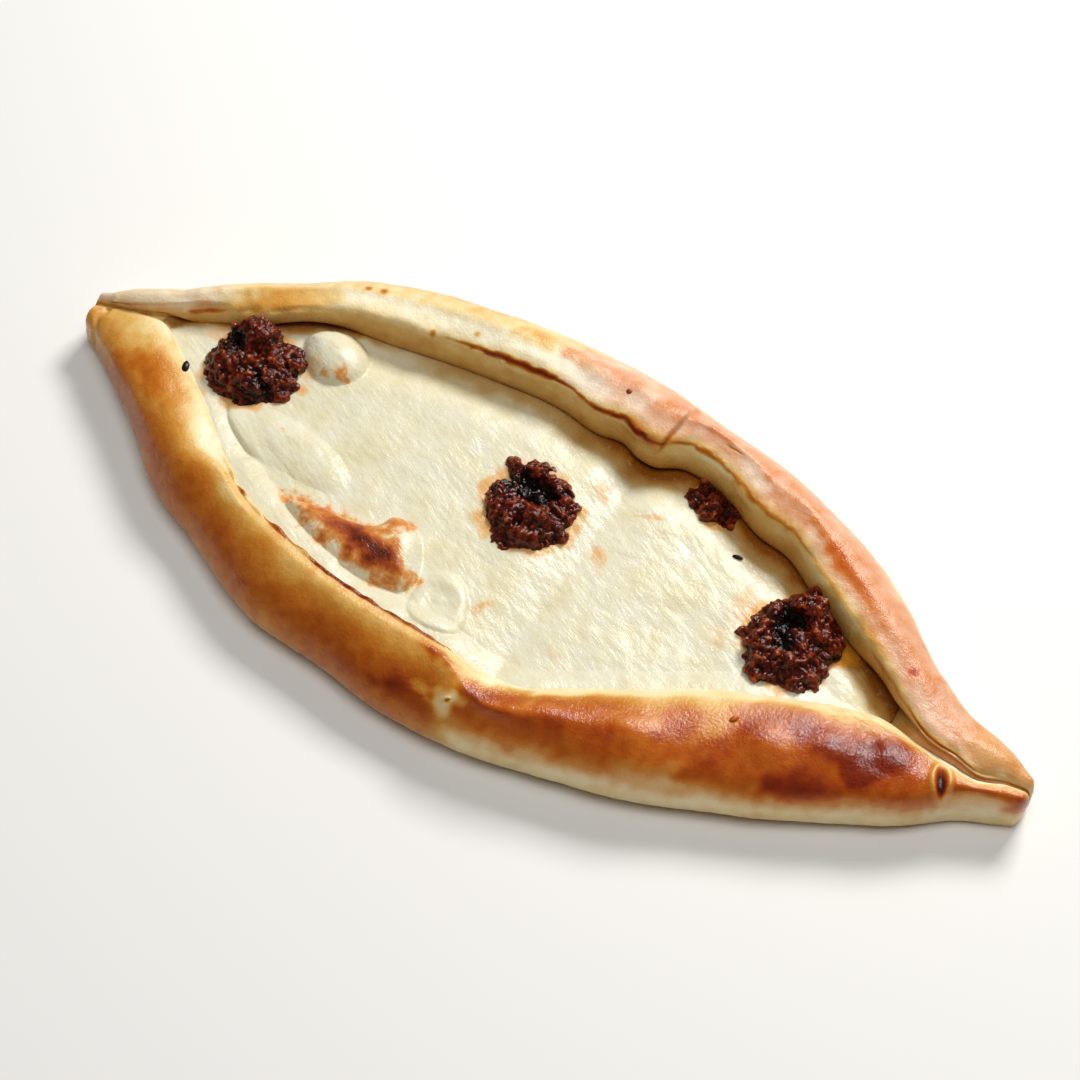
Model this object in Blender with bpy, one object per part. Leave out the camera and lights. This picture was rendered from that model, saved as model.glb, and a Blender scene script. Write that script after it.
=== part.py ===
"""Turkish pide: a boat-shaped flatbread whose long sides fold in over a cheese filling with meat on it.

Lengths in the tables are millimetres, and MM turns them into metres. +X runs along the boat, +Y is the
side with the overhanging flap (the far side), +Z is up. The origin is under the middle of the boat.
"""

import math

import bmesh
import bpy
import numpy as np
from mathutils import Matrix, Vector, noise
from mathutils.bvhtree import BVHTree

MM = 0.001
LEFT_END = -131.8
RIGHT_END = 130.6
END_ROUNDING = 1.6
FLOOR_HEIGHT = 5.0
GAP = 0.4
CENTRE = (-0.6, 1.0)

CRUST_STATIONS = 76
CHEESE_STATIONS = 52
CHEESE_ENDS = (-109.5, 94.0)
CHEESE_ACROSS = 25
OPENING_ENDS = (-115.0, -103.0, 91.0, 103.0)

# The boat's outline on each side, as (x, y).
NEAR_WALL = (
    (-132, 0.6), (-124, -4.0), (-118, -7.8), (-104, -17.4), (-88, -29.6), (-72, -37.8), (-48, -47.6),
    (-24, -51.5), (8, -54.0), (32, -50.0), (56, -43.0), (80, -33.0), (96, -24.8), (108, -17.8),
    (118, -10.0), (125, -6.6), (131, -3.6),
)
FAR_WALL = (
    (-132, 9.4), (-124, 13.6), (-112, 20.4), (-96, 33.0), (-80, 43.0), (-64, 49.4), (-40, 53.8),
    (-16, 56.3), (8, 54.8), (24, 52.0), (32, 50.8), (56, 44.5), (72, 37.6), (88, 27.2), (100, 17.6),
    (110, 11.5), (122, 8.0), (131, 3.0),
)
# The free edge of each flap, as (x, y). The two meet in a crease at both tips.
NEAR_LIP = (
    (-132, 5.4), (-118, 8.2), (-111, 8.2), (-105, 4.6), (-100, 1.2), (-88, -7.5), (-77, -16.6),
    (-65, -25.2), (-49, -31.2), (-31, -35.2), (-6, -36.8), (12, -37.9), (20, -36.5), (28, -31.5),
    (42, -23.5), (57, -14.5), (71, -8.5), (82, -4.0), (92, -1.2), (104, -2.6), (113, -3.4),
    (119, -3.6), (124, -1.4), (131, -0.4),
)
FAR_LIP = (
    (-132, 6.2), (-118, 8.8), (-110, 12.0), (-101, 16.5), (-89, 21.0), (-80, 26.0), (-71, 30.0),
    (-57, 33.0), (-35, 36.0), (-13, 37.0), (-2, 35.2), (5, 36.0), (10, 34.2), (15, 34.2), (20, 36.8),
    (27, 37.0), (36, 34.0), (46, 29.5), (54, 28.0), (65, 21.5), (79, 14.0), (89, 8.5), (96, 3.6),
    (104, 0.6), (112, -0.4), (119, -2.6), (124, -0.6), (131, 0.4),
)
# Heights along the boat, as (x, z): where each flap is highest, and the top of its free edge.
NEAR_CREST = (
    (-130, 12.0), (-115, 14.0), (-100, 15.5), (-60, 17.0), (-20, 17.5), (20, 17.5), (60, 17.0),
    (90, 15.8), (110, 14.4), (120, 13.4), (130, 12.0),
)
NEAR_LIP_TOP = (
    (-130, 10.4), (-118, 11.6), (-105, 12.4), (-88, 13.6), (-74, 15.2), (-60, 16.2), (-20, 16.6),
    (0, 16.2), (12, 15.0), (30, 13.8), (60, 13.6), (85, 13.0), (100, 12.0), (118, 11.8), (130, 10.8),
)
FAR_CREST = (
    (-130, 13.0), (-115, 15.4), (-95, 18.0), (-60, 20.6), (0, 21.6), (40, 21.2), (80, 19.2),
    (100, 16.8), (120, 14.8), (130, 12.8),
)
FAR_LIP_TOP = (
    (-130, 11.6), (-115, 13.8), (-100, 15.4), (-80, 17.4), (-40, 18.0), (10, 18.2), (40, 18.0),
    (70, 17.4), (90, 15.8), (105, 14.8), (118, 14.0), (130, 11.8),
)
FAR_LIP_THICKNESS = 5.6
FAR_POCKET_DEPTH = 5.0

# Points of the ring between one named corner of the section and the next.
RING_STEPS = (1, 1, 1, 1, 1, 2, 2, 2, 1, 1, 1, 1, 2, 2, 1, 1, 1, 2, 1, 1, 2, 2, 2, 1, 1, 1, 1, 1)

# Each lump of meat: its centre, its reach in plan every 45 degrees from +X, the height of its top, the
# hollows in it as (x, y, radius, depth), its peak as (x, y, radius, height), how far its crags stand out,
# its place in the noise that makes them, and how many times the ball it starts from is split.
LUMPS = {
    "meat_left": {
        "centre": (-84.5, 8.0),
        "reach": (13.5, 13.0, 12.0, 15.0, 11.0, 11.5, 11.0, 12.0),
        "height": 8.0,
        "hollows": ((-92.0, 11.0, 3.0, 3.0), (-79.0, 2.0, 3.0, 1.8), (-84.0, 7.0, 2.2, 1.4)),
        "peak": (-88.5, 16.5, 5.0, 4.4),
        "crags": 2.3,
        "place": 3.1,
        "splits": 4,
    },
    "meat_mid": {
        "centre": (-4.6, 7.2),
        "reach": (11.0, 11.5, 14.0, 15.0, 12.0, 11.0, 14.0, 13.0),
        "height": 6.4,
        "hollows": ((-8.0, 12.0, 4.4, 5.4), (-1.0, 13.0, 3.8, 4.8), (-4.0, 2.0, 2.6, 1.4)),
        "peak": (-2.0, -2.0, 6.0, 1.2),
        "crags": 2.2,
        "place": 8.4,
        "splits": 4,
    },
    "meat_right": {
        "centre": (66.5, 6.5),
        "reach": (10.5, 12.0, 14.5, 13.0, 11.0, 11.5, 13.5, 13.0),
        "height": 6.8,
        "hollows": ((64.5, 10.0, 4.0, 5.2), (66.0, 4.0, 3.0, 3.4)),
        "peak": (67.0, 16.5, 6.0, 3.0),
        "crags": 2.2,
        "place": 15.7,
        "splits": 4,
    },
    "meat_tuck": {
        "centre": (33.0, 33.0),
        "reach": (6.0, 4.6, 4.4, 7.0, 7.5, 5.5, 5.0, 7.5),
        "height": 1.9,
        "hollows": (),
        "peak": (33.0, 33.0, 4.0, 0.0),
        "crags": 0.9,
        "place": 21.2,
        "splits": 3,
    },
}
CRAG_SIZE = 4.2
SOCKET_SHARE = 0.86
SOCKET_DEPTH = 2.4
LUMP_BASE = 10.0
SHARP_ANGLE = math.radians(50.0)

# A nigella seed and scorched flakes that stick to the dough, as (x, y, length, width, turn in degrees).
CRUST_GRAINS = (
    (-99.0, -0.6, 2.9, 1.6, 108.0),
    (2.0, 43.5, 2.2, 1.8, 20.0),
    (11.5, 36.8, 2.6, 1.6, 130.0),
    (65.5, -20.0, 2.6, 1.7, 60.0),
    (80.0, 16.5, 2.0, 1.5, 10.0),
)
CHEESE_GRAINS = ((44.3, 21.6, 2.6, 1.3, 10.0),)


def along(points, x):
    """The smooth curve through the (x, value) points, at x."""
    xs, values = np.array(points, float).T
    slopes = np.gradient(values, xs)
    i = np.clip(np.searchsorted(xs, x) - 1, 0, len(xs) - 2)
    width = xs[i + 1] - xs[i]
    t = np.clip((x - xs[i]) / width, 0.0, 1.0)
    ends = (1 + 2 * t) * (1 - t) ** 2 * values[i] + t * t * (3 - 2 * t) * values[i + 1]
    return ends + width * t * (1 - t) * ((1 - t) * slopes[i] - t * slopes[i + 1])


def rise(start, end, x):
    """0 at start, 1 at end, and smooth between."""
    t = np.clip((x - start) / (end - start), 0.0, 1.0)
    return t * t * (3 - 2 * t)


def bump(x, y, centre, radii, turn=0.0, softness=1.5):
    """A round hill that is 1 at its centre and 0 from its edge outwards. Low softness gives a steep dome."""
    angle = math.radians(turn)
    u = (x - centre[0]) * math.cos(angle) + (y - centre[1]) * math.sin(angle)
    v = (y - centre[1]) * math.cos(angle) - (x - centre[0]) * math.sin(angle)
    away = np.minimum((u / radii[0]) ** 2 + (v / radii[1]) ** 2, 1.0)
    return (1 - away) ** softness


def openness(x):
    """1 where the flaps leave the filling open, 0 where they meet."""
    return rise(OPENING_ENDS[0], OPENING_ENDS[1], x) * rise(OPENING_ENDS[3], OPENING_ENDS[2], x)


def floor_height(x):
    """The dough under the filling, which climbs to the crease at the tips."""
    crease = along(NEAR_LIP_TOP, x) - 2.2
    return FLOOR_HEIGHT + (crease - FLOOR_HEIGHT) * (1 - openness(x))


def climbing(x):
    """1 where the near flap climbs all the way to its free edge, 0 where it is highest half way."""
    return rise(-86.0, -70.0, x) * rise(16.0, 0.0, x)


def crust_corners(x):
    """The corners of the dough's section at x, round from the middle of its underside by the near side."""
    near, far = along(NEAR_WALL, x), along(FAR_WALL, x)
    near_lip, far_lip = along(NEAR_LIP, x), along(FAR_LIP, x)
    near_top, far_top = along(NEAR_LIP_TOP, x), along(FAR_LIP_TOP, x)
    near_crest, far_crest = along(NEAR_CREST, x), along(FAR_CREST, x)
    opened = openness(x)
    bottom = floor_height(x)
    girth = min(1.0, (far - near) / 70.0)
    climb = climbing(x)
    near_ridge = near + (0.46 + 0.36 * climb) * (near_lip - near)
    near_fall = min(3.6 * girth, 0.42 * (near_lip - near_ridge))
    far_ridge = far - 0.50 * (far - far_lip)
    thickness = 1.2 + (FAR_LIP_THICKNESS - 1.2) * opened
    pocket = far_lip + FAR_POCKET_DEPTH * opened
    middle = 0.5 * (near_lip + far_lip)
    return (
        (0.5 * (near + far), 0.0),
        (near + 0.25 * (far - near), 0.0),
        (near + 6.0 * girth, 0.0),
        (near + 1.6 * girth, 0.11 * near_crest),
        (near - 0.6 * girth, 0.36 * near_crest),
        (near + (1.2 + 0.8 * climb) * girth, 0.63 * near_crest),
        (near + (5.2 + 1.4 * climb) * girth, (0.87 - 0.04 * climb) * near_crest),
        (near_ridge, near_crest),
        (near_lip - near_fall, near_top + 0.5 * (near_crest - near_top)),
        (near_lip, near_top),
        (near_lip + 0.9 * girth, near_top - 1.6),
        (near_lip + 0.4 * opened, near_top - 1.8 - 1.6 * opened),
        (near_lip + 0.2, bottom + 1.6 * opened),
        (near_lip + 0.25 * (middle - near_lip), bottom),
        (middle, bottom),
        (pocket - 0.2 * (pocket - middle), bottom),
        (pocket, bottom + 2.2 * opened),
        (pocket - 0.4 * opened, far_top - thickness - 0.8 * opened),
        (far_lip + 2.4 * opened, far_top - thickness + 0.2),
        (far_lip, far_top - thickness + 0.5),
        (far_lip + 0.1, far_top - 0.3 * thickness),
        (far_lip + 1.6 * girth, far_top),
        (far_lip + 6.0 * girth, far_top + 0.75 * (far_crest - far_top)),
        (far_ridge, far_crest),
        (far - 3.4 * girth, 0.82 * far_crest),
        (far, 0.56 * far_crest),
        (far + 0.4 * girth, 0.30 * far_crest),
        (far - 5.0 * girth, 0.0),
    )


def closed_curve(corners, steps):
    """A smooth closed curve through the corners, with a set number of points after each."""
    corners = np.array(corners, float)
    points = []
    for k, count in enumerate(steps):
        before, start, end, after = corners[(np.arange(k - 1, k + 3)) % len(corners)]
        lead = max(math.dist(before, start), 1e-6) ** 0.5
        span = max(math.dist(start, end), 1e-6) ** 0.5
        trail = max(math.dist(end, after), 1e-6) ** 0.5
        leave = span * ((start - before) / lead - (end - before) / (lead + span)) + (end - start)
        arrive = (end - start) - span * (after - start) / (span + trail) + span * (after - end) / trail
        for step in range(count):
            t = step / count
            blend = (1 + 2 * t) * (1 - t) ** 2 * start + t * t * (3 - 2 * t) * end
            points.append(blend + t * (1 - t) ** 2 * leave - t * t * (1 - t) * arrive)
    return np.array(points)


def loft(name, stations, rings):
    """A closed skin over the rings, each drawn in YZ at its station. The end rings shrink to points."""
    around = len(rings[0])
    mesh = bpy.data.meshes.new(name)
    bm = bmesh.new()
    bmesh.ops.create_grid(bm, x_segments=len(stations) - 1, y_segments=around, size=1.0)
    for vert in bm.verts:
        i = round((vert.co.x + 1) / 2 * (len(stations) - 1))
        j = round((vert.co.y + 1) / 2 * around) % around
        y, z = rings[i][j]
        vert.co = Vector((stations[i], y, z)) * MM
    bmesh.ops.remove_doubles(bm, verts=bm.verts, dist=0.005 * MM)
    bmesh.ops.recalc_face_normals(bm, faces=bm.faces)
    bm.to_mesh(mesh)
    bm.free()
    obj = bpy.data.objects.new(name, mesh)
    bpy.context.scene.collection.objects.link(obj)
    return obj


def end_share(from_end, rounding):
    """How much of its full size a ring keeps this far from the end of the loft."""
    past = max(0.0, 1 - from_end / rounding)
    return math.sqrt(max(0.0, 1 - past**2))


def rounded_end(ring, share):
    """The ring drawn in towards its own middle."""
    middle = 0.5 * (ring.min(axis=0) + ring.max(axis=0))
    return middle + (ring - middle) * share


def outer_skin(x, y, z):
    """1 on the outside of the dough, 0 in the pocket and in the crease, where two skins face each other."""
    near_lip, far_lip = along(NEAR_LIP, x), along(FAR_LIP, x)
    pocket_end = far_lip + FAR_POCKET_DEPTH * openness(x) + 1.0
    roof = along(FAR_LIP_TOP, x) - FAR_LIP_THICKNESS + 1.0
    if z < roof and near_lip < y < pocket_end:
        return 0.0
    return max(rise(0.0, -2.0, y - near_lip), rise(0.0, 2.5, y - far_lip))


def crust_relief(x, y, z):
    """How far the dough's skin stands out of the plain loft, in mm."""
    height = 0.0
    top = rise(9.0, 13.0, z)
    # The pleat in the far flap: the left length laps over the right one.
    pleat = x - (15.5 + 0.2 * (y - 35.0))
    on_far = rise(31.0, 35.0, y) * rise(52.0, 44.0, y) * top
    height += on_far * (1.2 * rise(-14.0, -1.6, pleat) * rise(1.0, -0.8, pleat))
    height -= on_far * (0.8 * rise(-0.8, 1.0, pleat) * rise(10.0, 1.0, pleat))
    # A swell in the far flap on each side of the pleat, and the dip before the right tip.
    height += 0.5 * bump(x, y, (-30, 46), (26, 8)) * top
    height += 0.6 * bump(x, y, (62, 34), (20, 8), -28) * top
    height -= 0.9 * bump(x, y, (106, 7), (10, 6), -20) * top
    height += 0.9 * bump(x, y, (120, 3), (7, 5)) * top
    # Air blisters in the near flap and on its shoulder.
    height += 0.9 * bump(x, y, (7.5, -47.5), (5.5, 5.0)) * top
    height += 0.9 * bump(x, y, (88, -15), (7, 6)) * top
    height += 0.9 * bump(x, y, (74, -22), (7, 6)) * top
    height += 0.7 * bump(x, y, (100, -9), (6, 5)) * top
    height -= 0.7 * bump(x, y, (94, -8.5), (5, 3), -20) * top
    height += 1.1 * bump(x, y, (111.5, -9.0), (3.6, 5.0)) * rise(6.0, 9.0, z)
    # The turned-in end of the left tip.
    height += 0.9 * bump(x, y, (-119, 14), (9, 5), 25) * top
    height += 0.8 * bump(x, y, (-103, 19), (7, 3), 28) * top
    height -= 0.8 * bump(x, y, (-110, 14), (5, 3), 25) * top
    # Soft unevenness of hand-shaped dough.
    soft = noise.noise(Vector((x / 24.0, y / 18.0, z / 12.0 + 5.0)))
    return float((height + 0.9 * soft * rise(1.0, 5.0, z)) * outer_skin(x, y, z))


def make_crust():
    """The dough: one skin from the underside over both flaps and down into the pocket between them."""
    spread = np.linspace(-1.0, 1.0, CRUST_STATIONS)
    half = 0.5 * (RIGHT_END - LEFT_END)
    stations = LEFT_END + half + half * (0.64 * spread + 0.36 * np.sin(spread * math.pi / 2))
    rings = []
    for x in stations:
        ring = closed_curve(crust_corners(x), RING_STEPS)
        ring[:, 1] = np.maximum(ring[:, 1], 0.0)
        from_end = min(x - LEFT_END, RIGHT_END - x)
        rings.append(rounded_end(ring, end_share(from_end, END_ROUNDING)))
    crust = loft("crust", stations, rings)
    bm = bmesh.new()
    bm.from_mesh(crust.data)
    bm.normal_update()
    moves = [vert.normal * crust_relief(*(vert.co / MM)) for vert in bm.verts]
    for vert, move in zip(bm.verts, moves):
        on_ground = vert.co.z < 0.05 * MM
        if not on_ground:
            vert.co += move * MM
    bm.to_mesh(crust.data)
    bm.free()
    return crust


def cheese_height(x, y):
    """The top of the filling, with its bubbles, folds and the sockets that the meat lies in."""
    near_lip = along(NEAR_LIP, x)
    from_near = y - near_lip
    flush = max(rise(8.0, 24.0, x) * rise(92.0, 74.0, x), climbing(x))
    edge = (along(NEAR_LIP_TOP, x) - 10.2) * (0.28 + 0.44 * flush)
    height = 10.2 + edge * rise(14.0, 0.0, from_near) - 0.5 * rise(34.0, 44.0, y)
    height += 4.6 * bump(x, y, (-69, 20.5), (9.5, 8.6), 20, 0.8)
    height += 3.6 * bump(x, y, (-61, -7.5), (22, 8), -10, 1.0)
    height += 1.4 * bump(x, y, (-66, -18), (13, 4.5), -35, 0.8)
    height += 4.0 * bump(x, y, (-37, -22.5), (21, 7), -12, 1.0)
    height += 2.4 * bump(x, y, (-27.5, -15), (6.0, 5.5), 0, 1.0)
    height += 1.7 * bump(x, y, (-9, -26), (9.5, 8.5), 0, 0.6)
    height -= 1.0 * bump(x, y, (-11, -25), (3.2, 3.2))
    height += 1.8 * bump(x, y, (82, 5), (9, 6), -20)
    height += 0.5 * noise.noise(Vector((x / 13.0, y / 11.0, 2.0)))
    for lump in LUMPS.values():
        reach = SOCKET_SHARE * float(np.mean(lump["reach"]))
        depth = SOCKET_DEPTH * min(1.0, lump["height"] / 4)
        height -= depth * bump(x, y, lump["centre"], (reach, reach), 0, 0.75)
    return height


def make_cheese():
    """The filling: a slab that fills the pocket, clear of the dough all round."""
    start, end = CHEESE_ENDS
    half = 0.5 * (end - start)
    spread = np.linspace(-1.0, 1.0, CHEESE_STATIONS)
    stations = start + half + half * (0.7 * spread + 0.3 * np.sin(spread * math.pi / 2))
    rings = []
    for x in stations:
        near_side = along(NEAR_LIP, x) + 0.9 + GAP
        far_side = along(FAR_LIP, x) + FAR_POCKET_DEPTH * openness(x) - 0.4 - 2 * GAP
        bottom = floor_height(x) + GAP + 0.1
        tops = []
        for y in np.linspace(near_side, far_side, CHEESE_ACROSS):
            into_lip = rise(far_side - 7.0, far_side, y)
            tops.append((y, max(cheese_height(x, y) - 0.8 * into_lip, bottom + 0.8)))
        low_far = far_side - 0.22 * (far_side - near_side)
        low_near = near_side + 0.10 * (far_side - near_side)
        unders = [(y, bottom) for y in np.linspace(low_far, low_near, 5)]
        sides = (far_side - 0.3, 0.5 * (bottom + tops[-1][1]) + 0.4), (near_side, 0.5 * (bottom + tops[0][1]))
        ring = np.array([*tops, sides[0], *unders, sides[1]])
        from_end = min(x - start, end - x)
        rings.append(rounded_end(ring, end_share(from_end, 2 * END_ROUNDING)))
    return loft("cheese", stations, rings)


def surface_of(obj):
    """What finds the highest point of the object over a place in plan."""
    bm = bmesh.new()
    bm.from_mesh(obj.data)
    tree = BVHTree.FromBMesh(bm)
    bm.free()

    def height_at(x, y):
        point, _, _, _ = tree.ray_cast(Vector((x, y, 0.1)), Vector((0, 0, -1)))
        return None if point is None else point.z

    return height_at


def make_lump(name, lump, over_cheese):
    """A heap of minced meat that sits in its socket in the cheese."""
    centre_x, centre_y = lump["centre"]
    reach = np.array(lump["reach"], float)
    mesh = bpy.data.meshes.new(name)
    bm = bmesh.new()
    bmesh.ops.create_icosphere(bm, subdivisions=lump["splits"], radius=1.0)
    for vert in bm.verts:
        direction = vert.co.normalized()
        turn = math.atan2(direction.y, direction.x) / (2 * math.pi) * len(reach)
        first = math.floor(turn)
        part = rise(0.0, 1.0, turn - first)
        size = reach[first % len(reach)] * (1 - part) + reach[(first + 1) % len(reach)] * part
        x = centre_x + size * direction.x
        y = centre_y + size * direction.y
        z = LUMP_BASE + (lump["height"] * direction.z**0.8 if direction.z > 0 else 4.0 * direction.z)
        upper = rise(-0.1, 0.5, direction.z)
        for hollow in lump["hollows"]:
            z -= upper * hollow[3] * bump(x, y, hollow[:2], (hollow[2] * 1.5, hollow[2] * 1.5))
        peak = lump["peak"]
        z += upper * peak[3] * bump(x, y, peak[:2], (peak[2] * 1.5, peak[2] * 1.5))
        place = Vector((x, y, z)) / CRAG_SIZE + Vector((0.0, 0.0, lump["place"]))
        crag = noise.noise(place) + 0.7 * noise.noise(place * 2.1)
        spot = Vector((x, y, z)) + direction * (lump["crags"] * crag)
        lip = along(FAR_LIP, spot.x)
        if name == "meat_tuck":
            spot.y = min(spot.y, lip + 2.6)
            spot.z = min(spot.z, along(FAR_LIP_TOP, spot.x) - FAR_LIP_THICKNESS - 0.6)
        else:
            spot.y = min(spot.y, lip - 0.8)
        spot.y = max(spot.y, along(NEAR_LIP, spot.x) + 1.9)
        vert.co = spot * MM
        ground = over_cheese(vert.co.x, vert.co.y)
        vert.co.z = max(vert.co.z, ground + GAP * MM)
    bmesh.ops.recalc_face_normals(bm, faces=bm.faces)
    bm.to_mesh(mesh)
    bm.free()
    obj = bpy.data.objects.new(name, mesh)
    bpy.context.scene.collection.objects.link(obj)
    return obj


def join_grains(obj, grains):
    """Small seeds and flakes, half sunk in the object's skin and joined to it."""
    over = surface_of(obj)
    group = bpy.data.collections.new(obj.name + "_grains")
    bpy.context.scene.collection.children.link(group)
    for x, y, length, width, turn in grains:
        bm = bmesh.new()
        bmesh.ops.create_uvsphere(bm, u_segments=6, v_segments=4, radius=1.0)
        ground = over(x * MM, y * MM)
        shape = Matrix.Diagonal((0.5 * length * MM, 0.5 * width * MM, 0.38 * width * MM, 1.0))
        place = Matrix.Translation((x * MM, y * MM, ground + 0.10 * width * MM))
        bm.transform(place @ Matrix.Rotation(math.radians(turn), 4, "Z") @ shape)
        mesh = bpy.data.meshes.new("grain")
        bm.to_mesh(mesh)
        bm.free()
        group.objects.link(bpy.data.objects.new("grain", mesh))
    join = obj.modifiers.new("join_grains", "BOOLEAN")
    join.operation = "UNION"
    join.operand_type = "COLLECTION"
    join.collection = group
    join.solver = "EXACT"
    bpy.context.view_layer.update()
    joined = bpy.data.meshes.new_from_object(obj.evaluated_get(bpy.context.evaluated_depsgraph_get()))
    obj.modifiers.clear()
    joined.set_sharp_from_angle(angle=SHARP_ANGLE)
    obj.data = joined
    for grain in list(group.objects):
        bpy.data.objects.remove(grain)
    bpy.data.collections.remove(group)


def finish(obj, colour, roughness):
    """Moves the piece into the shared frame, shades it smooth and gives it its material."""
    obj.data.transform(Matrix.Translation((-CENTRE[0] * MM, -CENTRE[1] * MM, 0.0)))
    for polygon in obj.data.polygons:
        polygon.use_smooth = True
    material = bpy.data.materials.new(obj.name)
    material.use_nodes = True
    shader = material.node_tree.nodes["Principled BSDF"]
    shader.inputs["Base Color"].default_value = (*colour, 1.0)
    shader.inputs["Roughness"].default_value = roughness
    shader.inputs["Metallic"].default_value = 0.0
    obj.data.materials.clear()
    obj.data.materials.append(material)


for old in list(bpy.data.objects):
    bpy.data.objects.remove(old)

dough = make_crust()
filling = make_cheese()
cheese_top = surface_of(filling)
meats = [make_lump(name, lump, cheese_top) for name, lump in LUMPS.items()]
join_grains(dough, CRUST_GRAINS)
join_grains(filling, CHEESE_GRAINS)

finish(dough, (0.66, 0.36, 0.13), 0.45)
finish(filling, (0.84, 0.77, 0.50), 0.35)
for meat in meats:
    finish(meat, (0.085, 0.022, 0.012), 0.25)
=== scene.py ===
import math

import bmesh
import bpy
import numpy as np
from mathutils import Matrix, Vector, noise


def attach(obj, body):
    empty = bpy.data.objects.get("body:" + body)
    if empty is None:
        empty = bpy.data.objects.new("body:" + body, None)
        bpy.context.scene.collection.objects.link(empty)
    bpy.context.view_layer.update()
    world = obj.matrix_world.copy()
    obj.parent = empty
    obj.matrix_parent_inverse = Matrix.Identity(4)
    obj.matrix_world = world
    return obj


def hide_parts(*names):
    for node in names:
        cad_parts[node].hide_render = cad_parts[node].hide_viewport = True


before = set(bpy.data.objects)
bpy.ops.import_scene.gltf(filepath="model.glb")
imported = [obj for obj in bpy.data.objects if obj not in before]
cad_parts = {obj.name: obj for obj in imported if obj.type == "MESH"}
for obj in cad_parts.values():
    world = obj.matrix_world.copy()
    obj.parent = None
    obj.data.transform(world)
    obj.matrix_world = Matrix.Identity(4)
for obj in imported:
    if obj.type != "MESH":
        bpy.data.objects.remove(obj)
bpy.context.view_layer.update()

# The dough: one sheet of bread dough, rolled long, its two sides folded in over the filling and its ends
# pinched, then baked on stone. The far flap lies on the filling with a free edge, the near one is flush.
# It is laid out in mm in a measuring frame, whose point CENTRE comes to the origin.
MM = 0.001
CENTRE = (-0.6, 1.0)
LEFT_END, RIGHT_END = -131.8, 130.6
END_ROUNDING = 1.6
TOP_LIMIT = 23.1
FLOOR_HEIGHT = 5.0
CREASE_DEPTH = 0.7
FAR_LIP_THICKNESS, TIP_LIP_THICKNESS = 5.6, 1.2
FAR_POCKET_DEPTH = 5.0
# How much deeper the far lip hangs along its middle, and how much its top is raised there and at the left.
FAR_LIP_SUNK = 4.0
FAR_LIP_RAISED, LEFT_LIP_RAISED = 1.4, 0.7
# Where the crease of the left tip opens, from and to, and where that of the right tip closes.
OPENING_ENDS = (-115.0, -103.0, 91.0, 103.0)

# The boat's outline on each side, as (x, y).
NEAR_WALL = (
    (-132, 0.6), (-124, -4.0), (-118, -7.8), (-104, -17.4), (-88, -29.6), (-72, -37.8), (-48, -47.6),
    (-24, -51.5), (8, -54.0), (32, -50.0), (56, -43.0), (80, -33.0), (96, -24.8), (108, -17.8),
    (118, -10.0), (125, -6.6), (131, -3.6),
)
FAR_WALL = (
    (-132, 9.4), (-124, 13.6), (-112, 20.4), (-96, 33.0), (-80, 43.0), (-64, 49.4), (-40, 53.8),
    (-16, 56.3), (8, 54.8), (24, 52.0), (32, 50.8), (56, 44.5), (72, 37.6), (88, 27.2), (100, 17.6),
    (110, 11.5), (122, 8.0), (131, 3.0),
)
# The free edge of each flap, as (x, y). The two meet in a crease at both tips.
NEAR_LIP = (
    (-132, 5.4), (-118, 8.2), (-111, 8.2), (-105, 4.6), (-100, 1.2), (-88, -7.5), (-77, -16.6),
    (-65, -25.2), (-49, -31.2), (-31, -35.2), (-6, -36.8), (12, -37.9), (20, -36.5), (28, -31.5),
    (42, -23.5), (57, -14.5), (71, -8.5), (82, -4.0), (92, -1.2), (104, -2.6), (113, -3.4),
    (119, -3.6), (124, -1.4), (131, -0.4),
)
FAR_LIP = (
    (-132, 6.2), (-118, 8.8), (-110, 12.0), (-101, 16.5), (-89, 21.0), (-80, 26.0), (-71, 30.0),
    (-57, 33.0), (-35, 36.0), (-13, 37.0), (-2, 35.2), (5, 36.0), (10, 34.2), (15, 34.2), (20, 36.8),
    (27, 37.0), (36, 34.0), (46, 29.5), (54, 28.0), (65, 21.5), (79, 14.0), (89, 8.5), (96, 3.6),
    (104, -0.9), (112, -2.0), (119, -3.0), (124, -0.8), (131, 0.4),
)
# Heights along the boat, as (x, z): where each flap is highest, and the top of its free edge.
NEAR_CREST = (
    (-130, 12.0), (-115, 14.0), (-100, 15.5), (-60, 17.0), (-20, 17.5), (20, 17.5), (60, 17.0),
    (90, 15.8), (110, 14.4), (120, 13.4), (130, 12.0),
)
NEAR_LIP_TOP = (
    (-130, 10.4), (-118, 11.6), (-105, 12.4), (-88, 13.6), (-74, 15.2), (-60, 16.2), (-20, 16.6),
    (0, 16.2), (12, 15.0), (30, 13.8), (60, 13.6), (85, 13.2), (100, 13.2), (118, 12.8), (130, 11.2),
)
FAR_CREST = (
    (-130, 13.0), (-115, 15.4), (-95, 18.0), (-60, 20.6), (0, 21.6), (40, 21.2), (80, 19.2),
    (100, 16.8), (120, 14.8), (130, 12.8),
)
FAR_LIP_TOP = (
    (-130, 11.6), (-115, 13.8), (-100, 15.4), (-80, 17.4), (-40, 18.0), (10, 18.2), (40, 18.0),
    (70, 17.4), (90, 15.8), (105, 14.8), (118, 14.0), (130, 11.8),
)
# How fine the skin is: sections along the boat, and points of a section from each corner to the next.
CRUST_STATIONS = 640
RING_STEPS = (3, 3, 4, 5, 6, 7, 12, 10, 8, 5, 4, 3, 2, 2, 2, 2, 2, 3, 4, 5, 6, 8, 12, 12, 8, 6, 4, 3)
MERGE_WITHIN = 0.002


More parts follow.
